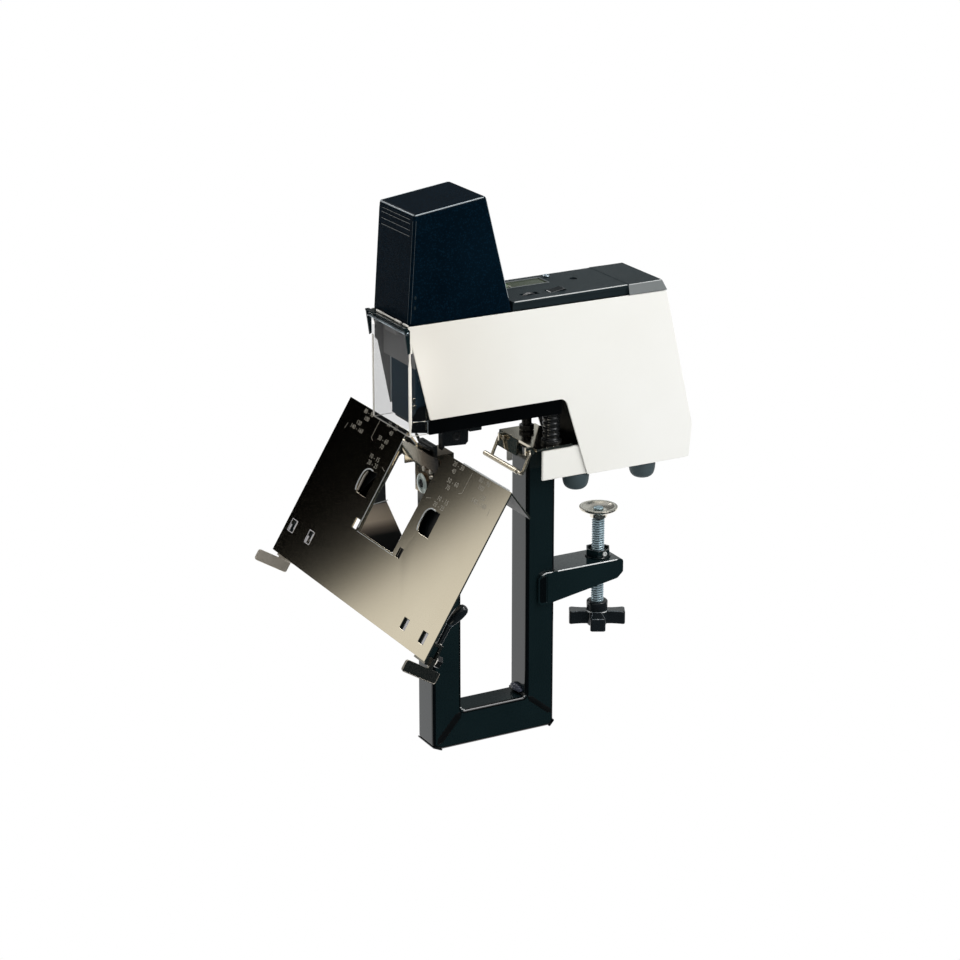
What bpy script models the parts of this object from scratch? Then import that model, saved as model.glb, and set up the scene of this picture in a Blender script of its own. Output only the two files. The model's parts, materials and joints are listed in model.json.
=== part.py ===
# Electric saddle stapler that clamps to a desk edge.
# Metres, +Z up, -Y is the front (stapling head), +X the side that the operator's right hand meets.
# Origin: on the rear face of the rear frame post (y = 0), in the centre plane (x = 0), at the level of
# the soles of the rubber feet, which is the desk top (z = 0).  The frame hangs in front of the desk edge.
import bpy
import bmesh
import math
from mathutils import Matrix, Vector

MM = 0.001

# ---------------------------------------------------------------- driving dimensions, in millimetres
TUBE = 30.0                 # square tube of the frame
TUBE_WALL = 2.5
POST_F = (-127.5, -97.5)    # front post, y
POST_R = (-30.0, 0.0)       # rear post, y
FRAME_BOTTOM = -235.7
FRAME_SILL = -200.8         # upper face of the lower member
FRONT_TOP = 26.0            # top of the front post
REAR_TOP = 44.9             # top of the rear post

PANEL_X = (34.6, 36.2)      # side panels, inner and outer face
PANEL = [(-160.7, 178.85), (101.4, 178.85), (132.4, 47.7), (129.5, 16.3), (21.1, 16.3),
         (-0.6, 84.8), (-2.6, 88.9), (-6.6, 91.3), (-10.5, 91.7), (-139.2, 91.7)]
TRAY_Z = (16.3, 45.0)
SCREW_Y = 54.8              # clamp screw axis
PAD_TOP = -31.0             # desk 31 mm thick at rest
THREAD_R = 6.0

RIDGE = (-124.2, 59.4)      # ridge line of the saddle table (y, z)
SLOPE_F = math.radians(58.6)
SLOPE_R = math.radians(54.2)
TABLE_HALF = 155.4
TABLE_LEN = 161.0
FLAP_LEN = 32.3
TABLE_T = 1.5
TILT_PIN = (-120.6, 38.4)   # tilt axis of the saddle table (y, z)

DRIVE_Y = -124.2            # line of the driver blade
GUARD_PIN = (-161.8, 173.4) # guard hinge axis (y, z)
BAIL_PIN = (-34.8, 43.2)    # bail hinge axis (y, z)

# ---------------------------------------------------------------- clean start
for ob in list(bpy.data.objects):
    bpy.data.objects.remove(ob, do_unlink=True)

parts = bpy.data.collections.new("electric_stapler")
tools = bpy.data.collections.new("cutters")
bpy.context.scene.collection.children.link(parts)
bpy.context.scene.collection.children.link(tools)


def material(name, rgb, rough, metal=0.0, alpha=1.0):
    m = bpy.data.materials.new(name)
    m.use_nodes = True
    b = m.node_tree.nodes["Principled BSDF"]
    b.inputs["Base Color"].default_value = (*rgb, 1.0)
    b.inputs["Roughness"].default_value = rough
    b.inputs["Metallic"].default_value = metal
    b.inputs["Alpha"].default_value = alpha
    m.diffuse_color = (*rgb, alpha)
    return m


BLACK_PAINT = material("black_paint", (0.012, 0.014, 0.016), 0.3)
BLACK_PLASTIC = material("black_plastic", (0.014, 0.018, 0.024), 0.4)
CHARCOAL = material("charcoal_plastic", (0.05, 0.058, 0.058), 0.55)
WHITE_PAINT = material("white_paint", (0.86, 0.84, 0.79), 0.4)
NICKEL = material("nickel", (0.62, 0.58, 0.52), 0.15, 1.0)
ZINC = material("zinc", (0.62, 0.66, 0.7), 0.3, 1.0)
STEEL = material("steel", (0.45, 0.45, 0.46), 0.35, 1.0)
RUBBER = material("rubber", (0.04, 0.06, 0.075), 0.75)
CLEAR = material("clear_polycarbonate", (0.85, 0.88, 0.88), 0.06, 0.0, 0.3)
COPPER = material("copper_winding", (0.55, 0.2, 0.08), 0.4, 1.0)
BOARD = material("circuit_board", (0.03, 0.2, 0.08), 0.5)
OLIVE = material("olive_window", (0.14, 0.2, 0.06), 0.4)
BLACK_OXIDE = material("black_oxide", (0.03, 0.03, 0.032), 0.35, 1.0)


# ---------------------------------------------------------------- helpers
def put(ob, coll, mat=None):
    coll.objects.link(ob)
    if mat is not None:
        ob.data.materials.append(mat)
    if coll is tools:
        ob.hide_render = True
        ob.display_type = "WIRE"
    return ob


def finish(name, bm, coll, mat, smooth=False):
    bmesh.ops.recalc_face_normals(bm, faces=bm.faces)
    if bm.calc_volume(signed=True) < 0:
        bmesh.ops.reverse_faces(bm, faces=bm.faces)
    me = bpy.data.meshes.new(name)
    bm.to_mesh(me)
    bm.free()
    if smooth:
        me.shade_smooth()
        me.set_sharp_from_angle(angle=math.radians(35))
    return put(bpy.data.objects.new(name, me), coll, mat)


def block(name, lo, hi, mat=None, coll=None):
    """A box between two corners, in millimetres."""
    bm = bmesh.new()
    size = [(h - l) * MM for l, h in zip(lo, hi)]
    mid = [(h + l) / 2 * MM for l, h in zip(lo, hi)]
    bmesh.ops.create_cube(bm, size=1.0, matrix=Matrix.Translation(mid) @ Matrix.Diagonal((*size, 1.0)))
    return finish(name, bm, coll or parts, mat)


AXES = {
    "x": Matrix(((0, 0, 1, 0), (1, 0, 0, 0), (0, 1, 0, 0), (0, 0, 0, 1))),
    "y": Matrix(((1, 0, 0, 0), (0, 0, -1, 0), (0, 1, 0, 0), (0, 0, 0, 1))),
    "z": Matrix.Identity(4),
}


def drum(name, axis, centre, r, lo, hi, mat=None, coll=None, n=24, r2=None):
    """A cylinder or cone along an axis: centre gives the other two coordinates, in millimetres."""
    bm = bmesh.new()
    bmesh.ops.create_cone(bm, cap_ends=True, segments=n, radius1=r * MM, radius2=(r if r2 is None else r2) * MM,
                          depth=(hi - lo) * MM)
    mid = (lo + hi) / 2
    if axis == "x":
        loc, rot = (mid, centre[0], centre[1]), AXES["x"]
    elif axis == "y":
        loc, rot = (centre[0], mid, centre[1]), Matrix.Rotation(math.radians(-90), 4, "X")
    else:
        loc, rot = (centre[0], centre[1], mid), AXES["z"]
    bm.transform(Matrix.Translation([c * MM for c in loc]) @ rot)
    return finish(name, bm, coll or parts, mat, smooth=True)


def prism(name, loops, axis, lo, hi, mat=None, coll=None, frame=None, holes=()):
    """A flat outline with holes, extruded from lo to hi along an axis or along a frame's third direction."""
    cu = bpy.data.curves.new(name + "_outline", "CURVE")
    cu.dimensions = "2D"
    cu.fill_mode = "BOTH"
    cu.extrude = (hi - lo) / 2 * MM
    for loop in [loops, *holes]:
        sp = cu.splines.new("POLY")
        sp.points.add(len(loop) - 1)
        for p, (u, v) in zip(sp.points, loop):
            p.co = (u * MM, v * MM, 0, 1)
        sp.use_cyclic_u = True
    guide = bpy.data.objects.new(name + "_outline", cu)
    tools.objects.link(guide)
    mid = (lo + hi) / 2 * MM
    if frame is None:
        shift = {"x": (mid, 0, 0), "y": (0, mid, 0), "z": (0, 0, mid)}[axis]
        mw = Matrix.Translation(shift) @ AXES[axis]
    else:
        mw = frame @ Matrix.Translation((0, 0, mid))
    dg = bpy.context.evaluated_depsgraph_get()
    me = bpy.data.meshes.new_from_object(guide.evaluated_get(dg))
    bm = bmesh.new()
    bm.from_mesh(me)
    bmesh.ops.remove_doubles(bm, verts=bm.verts, dist=1e-6)
    bmesh.ops.dissolve_limit(bm, angle_limit=math.radians(0.5), verts=bm.verts, edges=bm.edges)
    bm.transform(mw)
    bpy.data.objects.remove(guide, do_unlink=True)
    bpy.data.meshes.remove(me)
    return finish(name, bm, coll or parts, mat)


def turned(name, profile, centre, mat=None, coll=None, n=24, axis="z"):
    """A turned shape: the profile of (radius, height) runs down the outer side and is closed at the axis."""
    bm = bmesh.new()
    vs = [bm.verts.new((r * MM, 0, z * MM)) for r, z in profile]
    for a, b in zip(vs, vs[1:]):
        bm.edges.new((a, b))
    me = bpy.data.meshes.new(name)
    bm.to_mesh(me)
    bm.free()
    ob = put(bpy.data.objects.new(name, me), coll or parts, mat)
    ob.location = [c * MM for c in centre]
    if axis == "x":
        ob.rotation_euler = (0, math.radians(90), 0)
    md = ob.modifiers.new("turn", "SCREW")
    md.axis = "Z"
    md.angle = math.radians(360)
    md.steps = n
    md.render_steps = n
    md.use_merge_vertices = True
    md.merge_threshold = 1e-6
    md.use_smooth_shade = False
    return ob


def ring_profile(r0, r1, z0, z1):
    """Closed profile of a plain ring, for a turned shape with a bore."""
    return [(r1, z1), (r1, z0), (r0, z0), (r0, z1), (r1, z1)]


def rod(name, pts, r, mat=None, coll=None, res=2, cyclic=False):
    """A round wire or bar along points, as a mesh with welded caps."""
    cu = bpy.data.curves.new(name + "_path", "CURVE")
    cu.dimensions = "3D"
    cu.bevel_depth = r * MM
    cu.bevel_resolution = res
    cu.use_fill_caps = True
    sp = cu.splines.new("POLY")
    sp.points.add(len(pts) - 1)
    for p, c in zip(sp.points, pts):
        p.co = (c[0] * MM, c[1] * MM, c[2] * MM, 1)
    sp.use_cyclic_u = cyclic
    guide = bpy.data.objects.new(name + "_path", cu)
    tools.objects.link(guide)
    dg = bpy.context.evaluated_depsgraph_get()
    me = bpy.data.meshes.new_from_object(guide.evaluated_get(dg))
    bm = bmesh.new()
    bm.from_mesh(me)
    bmesh.ops.remove_doubles(bm, verts=bm.verts, dist=1e-7)
    bpy.data.objects.remove(guide, do_unlink=True)
    bpy.data.meshes.remove(me)
    return finish(name, bm, coll or parts, mat, smooth=True)


def boolean(ob, other, op="DIFFERENCE"):
    md = ob.modifiers.new(op.lower(), "BOOLEAN")
    md.object = other
    md.operation = op
    md.solver = "EXACT"
    return ob


def cut(ob, *others):
    for o in others:
        boolean(ob, o)
    return ob


def join(ob, *others):
    for o in others:
        boolean(ob, o, "UNION")
    return ob


def bevel(ob, width, segs=2, angle=40):
    md = ob.modifiers.new("bevel", "BEVEL")
    md.width = width * MM
    md.segments = segs
    md.limit_method = "ANGLE"
    md.angle_limit = math.radians(angle)
    md.harden_normals = False
    return ob


def cbox(name, lo, hi):
    return block("cut_" + name, lo, hi, coll=tools)


def cdrum(name, axis, centre, r, lo, hi, n=24, r2=None):
    return drum("cut_" + name, axis, centre, r, lo, hi, coll=tools, n=n, r2=r2)


def cprism(name, loop, axis, lo, hi, frame=None):
    return prism("cut_" + name, loop, axis, lo, hi, coll=tools, frame=frame)


def inset(points, d):
    """Offset a convex outline inwards by d."""
    n = len(points)
    area = sum(points[i][0] * points[(i + 1) % n][1] - points[(i + 1) % n][0] * points[i][1] for i in range(n))
    sgn = 1 if area > 0 else -1
    lines = []
    for i in range(n):
        a, b = Vector(points[i]), Vector(points[(i + 1) % n])
        t = (b - a).normalized()
        nrm = Vector((-t.y, t.x)) * sgn
        lines.append((a + nrm * d, t))
    out = []
    for i in range(n):
        (p, t), (q, s) = lines[i - 1], lines[i]
        den = t.x * s.y - t.y * s.x
        k = ((q.x - p.x) * s.y - (q.y - p.y) * s.x) / den
        out.append((p.x + t.x * k, p.y + t.y * k))
    return out


# ================================================================ frame and desk clamp
u = [(POST_F[0], FRONT_TOP), (POST_F[0], FRAME_BOTTOM + 4.0), (POST_F[0] + 9.0, FRAME_BOTTOM), (-4.0, FRAME_BOTTOM),
     (0, FRAME_BOTTOM + 4.6), (0, REAR_TOP), (POST_R[0], REAR_TOP), (POST_R[0], FRAME_SILL),
     (POST_F[1], FRAME_SILL), (POST_F[1], FRONT_TOP)]
w = TUBE_WALL
ui = [(POST_F[0] + w, 90), (POST_F[0] + w, FRAME_BOTTOM + w + 4), (POST_F[0] + w + 8, FRAME_BOTTOM + w),
      (-w - 4, FRAME_BOTTOM + w), (-w, FRAME_BOTTOM + w + 4), (-w, 90), (POST_R[0] + w, 90),
      (POST_R[0] + w, FRAME_SILL - w), (POST_F[1] - w, FRAME_SILL - w), (POST_F[1] - w, 90)]
frame = prism("u_frame", u, "x", -TUBE / 2, TUBE / 2, BLACK_PAINT)
bevel(frame, 2.2, 2, 60)
cut(frame, cprism("tube_bore", ui, "x", -TUBE / 2 + w, TUBE / 2 - w))

arm = [(-18.8, -84.6), (-16.0, -81.6), (-10.0, -80.0), (72.0, -80.0), (72.0, -93.0), (66.0, -98.6), (6.0, -108.6), (-9.0, -111.0),
       (-16.0, -111.0), (-18.8, -108.0)]
clamp = prism("clamp_bracket", arm, "x", -17.9, 17.9, BLACK_PAINT)
bevel(clamp, 1.6, 2, 40)
cut(clamp, cbox("arm_post", (-15.3, -25.0, -120.0), (15.3, 0.3, -70.0)),
    cbox("arm_hollow", (-15.2, 3.0, -120.0), (15.2, 69.3, -82.6)),
    cdrum("arm_hole", "z", (0, SCREW_Y), 9.2, -90, -70))

nut = turned("clamp_nut", [(12.0, -77.7), (12.0, -79.7), (8.8, -79.7), (8.8, -93.0), (6.4, -93.0), (6.4, -77.7), (12.0, -77.7)],
             (0, SCREW_Y, 0), STEEL, n=24)

screw = turned("clamp_screw", [(0, -31.7), (4.2, -31.9), (4.8, -33.0), (2.8, -33.1), (2.8, -41.4), (THREAD_R, -41.4), (THREAD_R, -141.6),
                               (5.0, -142.6), (0, -142.6)], (0, SCREW_Y, 0), ZINC, n=20)
pad = turned("clamp_pad", [(18.0, PAD_TOP), (18.0, -33.0), (15.4, -34.6), (9.0, -37.2), (8.0, -41.0), (3.15, -41.0), (3.15, -33.5),
                           (10.0, -33.3), (14.9, PAD_TOP), (18.0, PAD_TOP)], (0, SCREW_Y, 0), NICKEL, n=32)

# four-lobed knob on the lower end of the screw
knob = drum("clamp_knob", "z", (0, SCREW_Y), 10.2, -149.0, -124.6, BLACK_PLASTIC, n=24)
lobe_a = block("lobe_a", (-26.4, -7.0, -146.8), (26.4, 7.0, -134.0), coll=tools)
lobe_b = block("lobe_b", (-7.0, -26.4, -146.8), (7.0, 26.4, -134.0), coll=tools)
bevel(lobe_a, 2.2, 2)
bevel(lobe_b, 2.2, 2)
for lobe in (lobe_a, lobe_b):
    lobe.data.transform(Matrix.Translation((0, SCREW_Y * MM, 0)) @ Matrix.Rotation(math.radians(61.6), 4, "Z"))
join(knob, lobe_a, lobe_b)
cut(knob, cdrum("knob_bore", "z", (0, SCREW_Y), 6.35, -143.0, -110, n=20))

# ================================================================ feet and base tray
foot_profile = [(0, 15.9), (12.3, 15.9), (12.4, 11.0), (11.6, 5.4), (9.6, 1.8), (6.4, 0.0), (0, 0.0)]
for label, fx, fy in (("foot_front_left", -21.5, 17.0), ("foot_front_right", 21.5, 17.0),
                      ("foot_rear_left", -21.5, 88.0), ("foot_rear_right", 21.5, 88.0)):
    turned(label, foot_profile, (fx, fy, 0), RUBBER, n=20)

tray = block("base_tray", (-34.0, -25.0, TRAY_Z[0]), (34.0, 126.0, TRAY_Z[1]), WHITE_PAINT)
bevel(tray, 0.8, 1)
cut(tray, cbox("tray_hollow", (-32.4, -40.0, TRAY_Z[0] + 1.6), (32.4, 124.4, 60.0)),
    cbox("tray_post", (-15.4, -40.0, 0.0), (15.4, 0.5, 60.0)),
    cbox("tray_slot", (-40.0, -19.0, 27.0), (-30.0, -14.0, 37.0)),
    cbox("tray_inlet", (-15.4, 110.0, 18.6), (15.4, 140.0, 60.0)),
    cdrum("tray_fuse", "y", (24.0, 31.4), 6.3, 110.0, 140.0, n=16))

# nickel bracket across the top of the rear post and the tray
bracket = block("post_bracket", (-34.4, -31.4, 45.3), (34.4, 6.0, 47.6), NICKEL)
flap = prism("bracket_flap", [(-31.8, 47.5), (-30.6, 47.3), (-30.5, 44.0), (-31.8, 32.4), (-33.6, 32.4)], "x", -34.4, 0.4, coll=tools)
lugs = [block("lug_a", (-26.2, -37.8, 40.4), (-23.8, -29.0, 47.4), coll=tools),
        block("lug_b", (23.8, -37.8, 40.4), (26.2, -29.0, 47.4), coll=tools)]
join(bracket, flap, *lugs)
cut(bracket, cdrum("bail_hole_a", "x", BAIL_PIN, 2.1, -30.0, -20.0, n=16),
    cdrum("bail_hole_b", "x", BAIL_PIN, 2.1, 20.0, 30.0, n=16),
    cdrum("conduit_hole", "z", (21.5, -9.0), 6.2, 40.0, 50.0, n=20),
    cbox("bracket_slot", (-6.0, -21.0, 40.0), (5.0, -18.6, 50.0)))

bolt = drum("post_bolt", "z", (-21.0, -10.6), 4.6, 53.3, 60.5, BLACK_OXIDE, n=20)
join(bolt, drum("bolt_flange", "z", (-21.0, -10.6), 7.0, 47.9, 53.4, coll=tools, n=6))
cut(bolt, cdrum("bolt_socket", "z", (-21.0, -10.6), 2.7, 56.5, 70.0, n=6))

# ribbed conduit that carries the leads from the base up into the arm
rib = [(8.0, 76.6)]
z = 75.0
while z > 53.0:
    rib += [(8.0, z), (7.1, z - 1.0), (7.1, z - 2.4), (8.0, z - 3.4)]
    z -= 5.0
rib += [(8.0, 51.2), (9.4, 51.0), (9.4, 47.9), (5.2, 47.9), (5.2, 76.6), (8.0, 76.6)]
turned("cable_conduit", rib, (21.5, -9.0, 0), RUBBER, n=20)

# ================================================================ housing
for label, s in (("side_panel_left", -1), ("side_panel_right", 1)):
    lo, hi = sorted((s * PANEL_X[0], s * PANEL_X[1]))
    bevel(prism(label, PANEL, "x", lo, hi, WHITE_PAINT), 0.5, 1)

# rear panel: one sheet with a bend, between the side panels
rear = prism("rear_panel", [(100.2, 178.6), (98.6, 178.6), (129.0, 48.2), (126.4, 16.4), (128.0, 16.4), (130.7, 47.8)],
             "x", -34.2, 34.2, WHITE_PAINT)
cut(rear, cbox("rear_inlet", (-14.4, 120.0, 20.4), (14.4, 140.0, 42.4)),
    cdrum("rear_fuse", "y", (24.0, 31.4), 6.2, 120.0, 140.0, n=16))

# mains inlet: body with a recess for the plug, three contact blades inside
inlet = block("mains_inlet", (-13.9, 108.0, 20.9), (13.9, 131.0, 41.9), BLACK_PLASTIC)
join(inlet, block("inlet_flange", (-17.6, 131.0 - 0.2, 19.0), (17.6, 133.0, 43.8), coll=tools))
cut(inlet, cprism("inlet_recess", [(-11.6, 23.2), (11.6, 23.2), (11.6, 35.6), (7.6, 39.6), (-7.6, 39.6), (-11.6, 35.6)],
                  "y", 114.0, 140.0))
for k, (px, pz) in enumerate(((-7.0, 29.0), (7.0, 29.0), (0.0, 34.0))):
    join(inlet, block("inlet_blade_%d" % k, (px - 1.0, 113.0, pz - 2.0), (px + 1.0, 127.0, pz + 2.0), coll=tools))
fuse = drum("fuse_holder", "y", (24.0, 31.4), 5.8, 112.0, 131.6, BLACK_PLASTIC, n=16)
join(fuse, drum("fuse_cap", "y", (24.0, 31.4), 5.0, 131.5, 134.0, coll=tools, n=16))

# black liner that closes the housing behind the notch
liner = prism("notch_liner", [(-1.0, 84.8), (-3.4, 92.4), (-1.4, 93.6), (0.9, 85.4), (22.4, 18.4), (20.8, 18.4)],
              "x", -34.3, 34.3, BLACK_PAINT)
cut(liner, cbox("liner_left", (-40.0, -10.0, 0.0), (-32.1, 40.0, 45.4)),
    cbox("liner_right", (32.1, -10.0, 0.0), (40.0, 40.0, 45.4)))

# channel under the arm: carries the magazine
channel = block("arm_channel", (-33.4, -139.0, 77.3), (33.4, -4.4, 98.0), BLACK_PAINT)
bevel(channel, 0.8, 1)
cut(channel, cbox("channel_hollow", (-31.6, -137.2, 79.1), (31.6, -6.2, 110.0)),
    cbox("channel_nose", (-14.6, -134.0, 70.0), (14.6, -115.0, 90.0)),
    cbox("channel_slot", (9.7, -120.0, 70.0), (13.5, -16.0, 90.0)),
    cdrum("channel_conduit", "z", (21.5, -9.0), 5.2, 70.0, 90.0, n=16),
    cbox("channel_latch", (26.0, -98.0, 70.0), (31.0, -84.0, 90.0)),
    cbox("channel_head", (-18.5, -145.0, 85.6), (30.5, -130.0, 110.0)))

# tower over the stapling head
def tower_line(zz):
    front = -158.8 + (zz - 180.5) * (6.5 / 95.2)
    back = -58.3 - (zz - 187.0) * (24.1 / 98.4)
    return front, back


f0, b0 = tower_line(160.0)
tower_out = [(f0, 160.0), (b0, 160.0), (-82.4, 285.4), (-152.3, 275.9)]
tower_in = inset(tower_out, 2.7)
f1, b1 = tower_line(150.0)
tower_in[0] = (f1 + 2.7, 150.0)
tower_in[1] = (b1 - 2.7, 150.0)
tower = prism("tower_cover", tower_out, "x", -34.0, 34.0, BLACK_PLASTIC)
bevel(tower, 3.0, 3, 40)
cut(tower, cprism("tower_hollow", tower_in, "x", -31.2, 31.2),
    cbox("tower_bottom", (-50.0, -180.0, 140.0), (50.0, -40.0, 179.4)))

# deck cover behind the tower
deck = prism("deck_cover", [(-55.8, 179.4), (-55.8, 187.4), (97.0, 189.0), (101.0, 179.4)], "x", -34.3, 34.3, CHARCOAL)
cap = prism("deck_cap", [(62.0, 179.35), (62.0, 188.7), (96.9, 189.06), (101.6, 179.35)], "x", -36.6, 36.6, coll=tools)
join(deck, cap)
bevel(deck, 0.9, 2, 40)
cut(deck, cbox("deck_hollow", (-32.0, -55.0, 170.0), (32.0, 96.0, 185.4)),
    cbox("deck_wheel", (13.7, -39.0, 170.0), (20.7, -21.6, 200.0)),
    cbox("deck_rocker", (12.2, -12.7, 170.0), (22.8, 5.5, 200.0)),
    cbox("deck_window", (-27.0, -44.0, 186.6), (-8.0, 4.0, 200.0)),
    cdrum("deck_screw_hole", "z", (-26.4, 11.9), 2.2, 170.0, 200.0, n=16),
    cdrum("deck_key_hole", "z", (-8.6, 29.8), 3.6, 170.0, 200.0, n=16))
block("indicator_window", (-26.7, -43.7, 186.9), (-8.3, 3.7, 187.5), OLIVE)
ds = drum("deck_screw", "z", (-26.4, 11.9), 1.7, 178.0, 188.5, ZINC, n=16)
join(ds, drum("deck_screw_head", "z", (-26.4, 11.9), 3.3, 188.45, 190.0, coll=tools, n=16))
cut(ds, cbox("deck_screw_slot", (-30.0, 11.4, 189.3), (-22.0, 12.4, 195.0)))
drum("reset_button", "z", (-8.6, 29.8), 3.2, 178.0, 187.4, BLACK_PLASTIC, n=16)

# main switch rocker: its top is a shallow V, so one end stands up
rocker = prism("main_switch", [(-11.0, 180.4), (-11.0, 187.7), (-3.6, 188.6), (3.8, 190.2), (3.8, 180.4)], "x", 12.7, 22.3, BLACK_PLASTIC)
bevel(rocker, 0.5, 1)

wheel = drum("force_wheel", "x", (-30.2, 178.4), 10.5, 14.7, 19.7, BLACK_PLASTIC, n=28)
join(wheel, drum("wheel_hub", "x", (-30.2, 178.4), 3.2, 12.4, 22.0, coll=tools, n=16))

# ================================================================ guard over the stapling zone
gb = prism("guard_bracket", [(-163.0, 177.4), (-149.0, 177.4), (-149.0, 178.6), (-163.0, 178.6)], "x", -34.0, 34.0, BLACK_PAINT)
join(gb, block("bracket_front", (-38.3, -164.8, 177.2), (38.3, -161.2, 178.7), coll=tools))
for s in (-1, 1):
    lo, hi = sorted((s * 36.6, s * 38.1))
    ear = prism("ear_%d" % s, [(-164.6, 177.9), (-161.4, 177.9), (-159.4, 176.0), (-159.4, 156.0), (-161.4, 154.8)], "x", lo, hi, coll=tools)
    join(gb, ear)
    cut(gb, cdrum("ear_hole_%d" % s, "x", GUARD_PIN, 1.85, lo - 3, hi + 3, n=16))
drum("guard_pin", "x", GUARD_PIN, 1.5, -38.9, 38.9, ZINC, n=16)

pane_front = [(-35.8, 79.4), (35.8, 79.4), (35.8, 164.0), (27.0, 165.0), (27.0, 171.5), (13.0, 171.5), (13.0, 165.0),
              (-13.0, 165.0), (-13.0, 171.5), (-27.0, 171.5), (-27.0, 165.0), (-35.8, 164.0)]
guard = prism("guard_shield", pane_front, "y", -160.0, -158.2, CLEAR)
for s in (-1, 1):
    lo, hi = sorted((s * 34.0, s * 35.8))
    join(guard, prism("pane_%d" % s, [(-159.9, 79.4), (-140.6, 79.4), (-140.0, 90.6), (-158.1, 163.4), (-159.9, 163.9)],
                      "x", lo, hi, coll=tools))
for k, (lo, hi) in enumerate(((-27.0, -13.0), (13.0, 27.0))):
    join(guard, drum("knuckle_%d" % k, "x", GUARD_PIN, 3.0, lo, hi, coll=tools, n=20))
cut(guard, cdrum("knuckle_bore", "x", GUARD_PIN, 1.85, -32.0, 32.0, n=16))

# ================================================================ stapling head, magazine and drive
head = block("head_cover", (-18.0, -150.0, 86.0), (30.0, -115.0, 164.0), BLACK_PLASTIC)
bevel(head, 1.0, 1)
cut(head, cbox("head_hollow", (-16.2, -148.2, 60.0), (28.2, -100.0, 200.0)))

guide = block("driver_guide", (-12.5, -132.0, 79.5), (12.5, -116.4, 116.0), STEEL)
cut(guide, cbox("guide_slot", (-6.8, -125.6, 60.0), (6.8, -122.8, 140.0)),
    cbox("guide_feed", (-6.8, -123.0, 81.5), (6.8, -100.0, 90.0)),
    cbox("guide_sides", (8.6, -118.6, 60.0), (14.0, -100.0, 96.0)),
    cbox("guide_sides_b", (-14.0, -118.6, 60.0), (-8.6, -100.0, 96.0)))
block("driver_blade", (-6.3, -125.3, 97.0), (6.3, -123.1, 149.7), STEEL)
ram = block("driver_ram", (-12.0, -131.0, 150.0), (12.0, -117.0, 166.0), STEEL)
bevel(ram, 0.8, 1)
drum("plunger", "z", (0, DRIVE_Y), 7.6, 166.3, 240.0, STEEL, n=20)
spring = []
turns, steps = 6, 12
for i in range(turns * steps + 1):
    a = 2 * math.pi * i / steps
    spring.append((9.4 * math.cos(a), DRIVE_Y + 9.4 * math.sin(a), 117.4 + 31.2 * i / (turns * steps)))
rod("return_spring", spring, 0.8, STEEL, res=1)

yoke = block("solenoid_yoke", (-22.0, -147.6, 190.0), (22.0, -100.8, 254.0), STEEL)
bevel(yoke, 1.0, 1)
cut(yoke, cbox("yoke_window", (-40.0, -143.4, 194.6), (40.0, -105.0, 249.4)),
    cdrum("yoke_bore", "z", (0, DRIVE_Y), 8.4, 180.0, 200.0, n=20),
    cdrum("yoke_bore_top", "z", (0, DRIVE_Y), 8.4, 245.0, 260.0, n=20))
turned("solenoid_coil", ring_profile(8.5, 18.6, 195.2, 248.8), (0, DRIVE_Y, 0), COPPER, n=28)

rail = block("magazine_rail", (-8.3, -116.0, 79.6), (8.3, -12.0, 91.0), STEEL)
cut(rail, cbox("rail_hollow", (-7.0, -130.0, 81.2), (7.0, 0.0, 100.0)))
block("staple_strip", (-6.2, -122.4, 81.7), (6.2, -98.2, 88.4), ZINC)

pusher = prism("magazine_pusher", [(-6.4, 81.7), (6.4, 81.7), (6.4, 91.5), (10.4, 91.5), (10.4, 70.0), (12.7, 70.0), (12.7, 93.2), (-6.4, 93.2)],
               "y", -97.6, -84.0, BLACK_PLASTIC)
join(pusher,
     prism("pusher_grip", [(-113.2, 74.6), (-113.2, 57.2), (-111.0, 57.0), (-92.0, 55.8), (-89.4, 58.4), (-89.0, 74.6)], "x", 10.2, 12.9, coll=tools),
     prism("pusher_tip", [(-115.4, 75.2), (-112.8, 75.2), (-112.8, 57.4), (-115.4, 53.6)], "x", 5.2, 12.8, coll=tools))
latch = block("magazine_latch", (26.6, -97.2, 73.2), (30.4, -84.8, 84.0), BLACK_PLASTIC)
bevel(latch, 0.6, 1)

# inner chassis plates, circuit board and transformer
for label, lo, hi in (("chassis_left", -31.3, -29.8), ("chassis_right", 30.4, 31.3)):
    prism(label, [(-146.0, 176.0), (-136.0, 99.6), (-2.0, 99.6), (24.0, 24.0), (122.5, 24.0), (123.6, 50.0), (96.0, 176.0)],
          "x", lo, hi, STEEL, holes=([(-60.0, 115.0), (-20.0, 115.0), (-20.0, 160.0), (-60.0, 160.0)],))
block("control_board", (-27.0, -54.0, 158.0), (27.0, 40.0, 159.6), BOARD)
tr = block("transformer", (-22.0, 46.0, 60.0), (22.0, 88.0, 112.0), STEEL)
join(tr, block("transformer_coil", (-15.0, 40.0, 68.0), (15.0, 94.0, 104.0), coll=tools))

# ================================================================ saddle table on the front post
cf, sf = math.cos(SLOPE_F), math.sin(SLOPE_F)
PLATE = Matrix(((1, 0, 0, 0), (0, cf, -sf, RIDGE[0] * MM), (0, sf, cf, RIDGE[1] * MM), (0, 0, 0, 1)))


def on_table(x, s, n=0.0):
    """Point at x, s down the front plate from the ridge, n above its face."""
    return (x, RIDGE[0] - s * cf - n * sf, RIDGE[1] - s * sf + n * cf)


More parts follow.
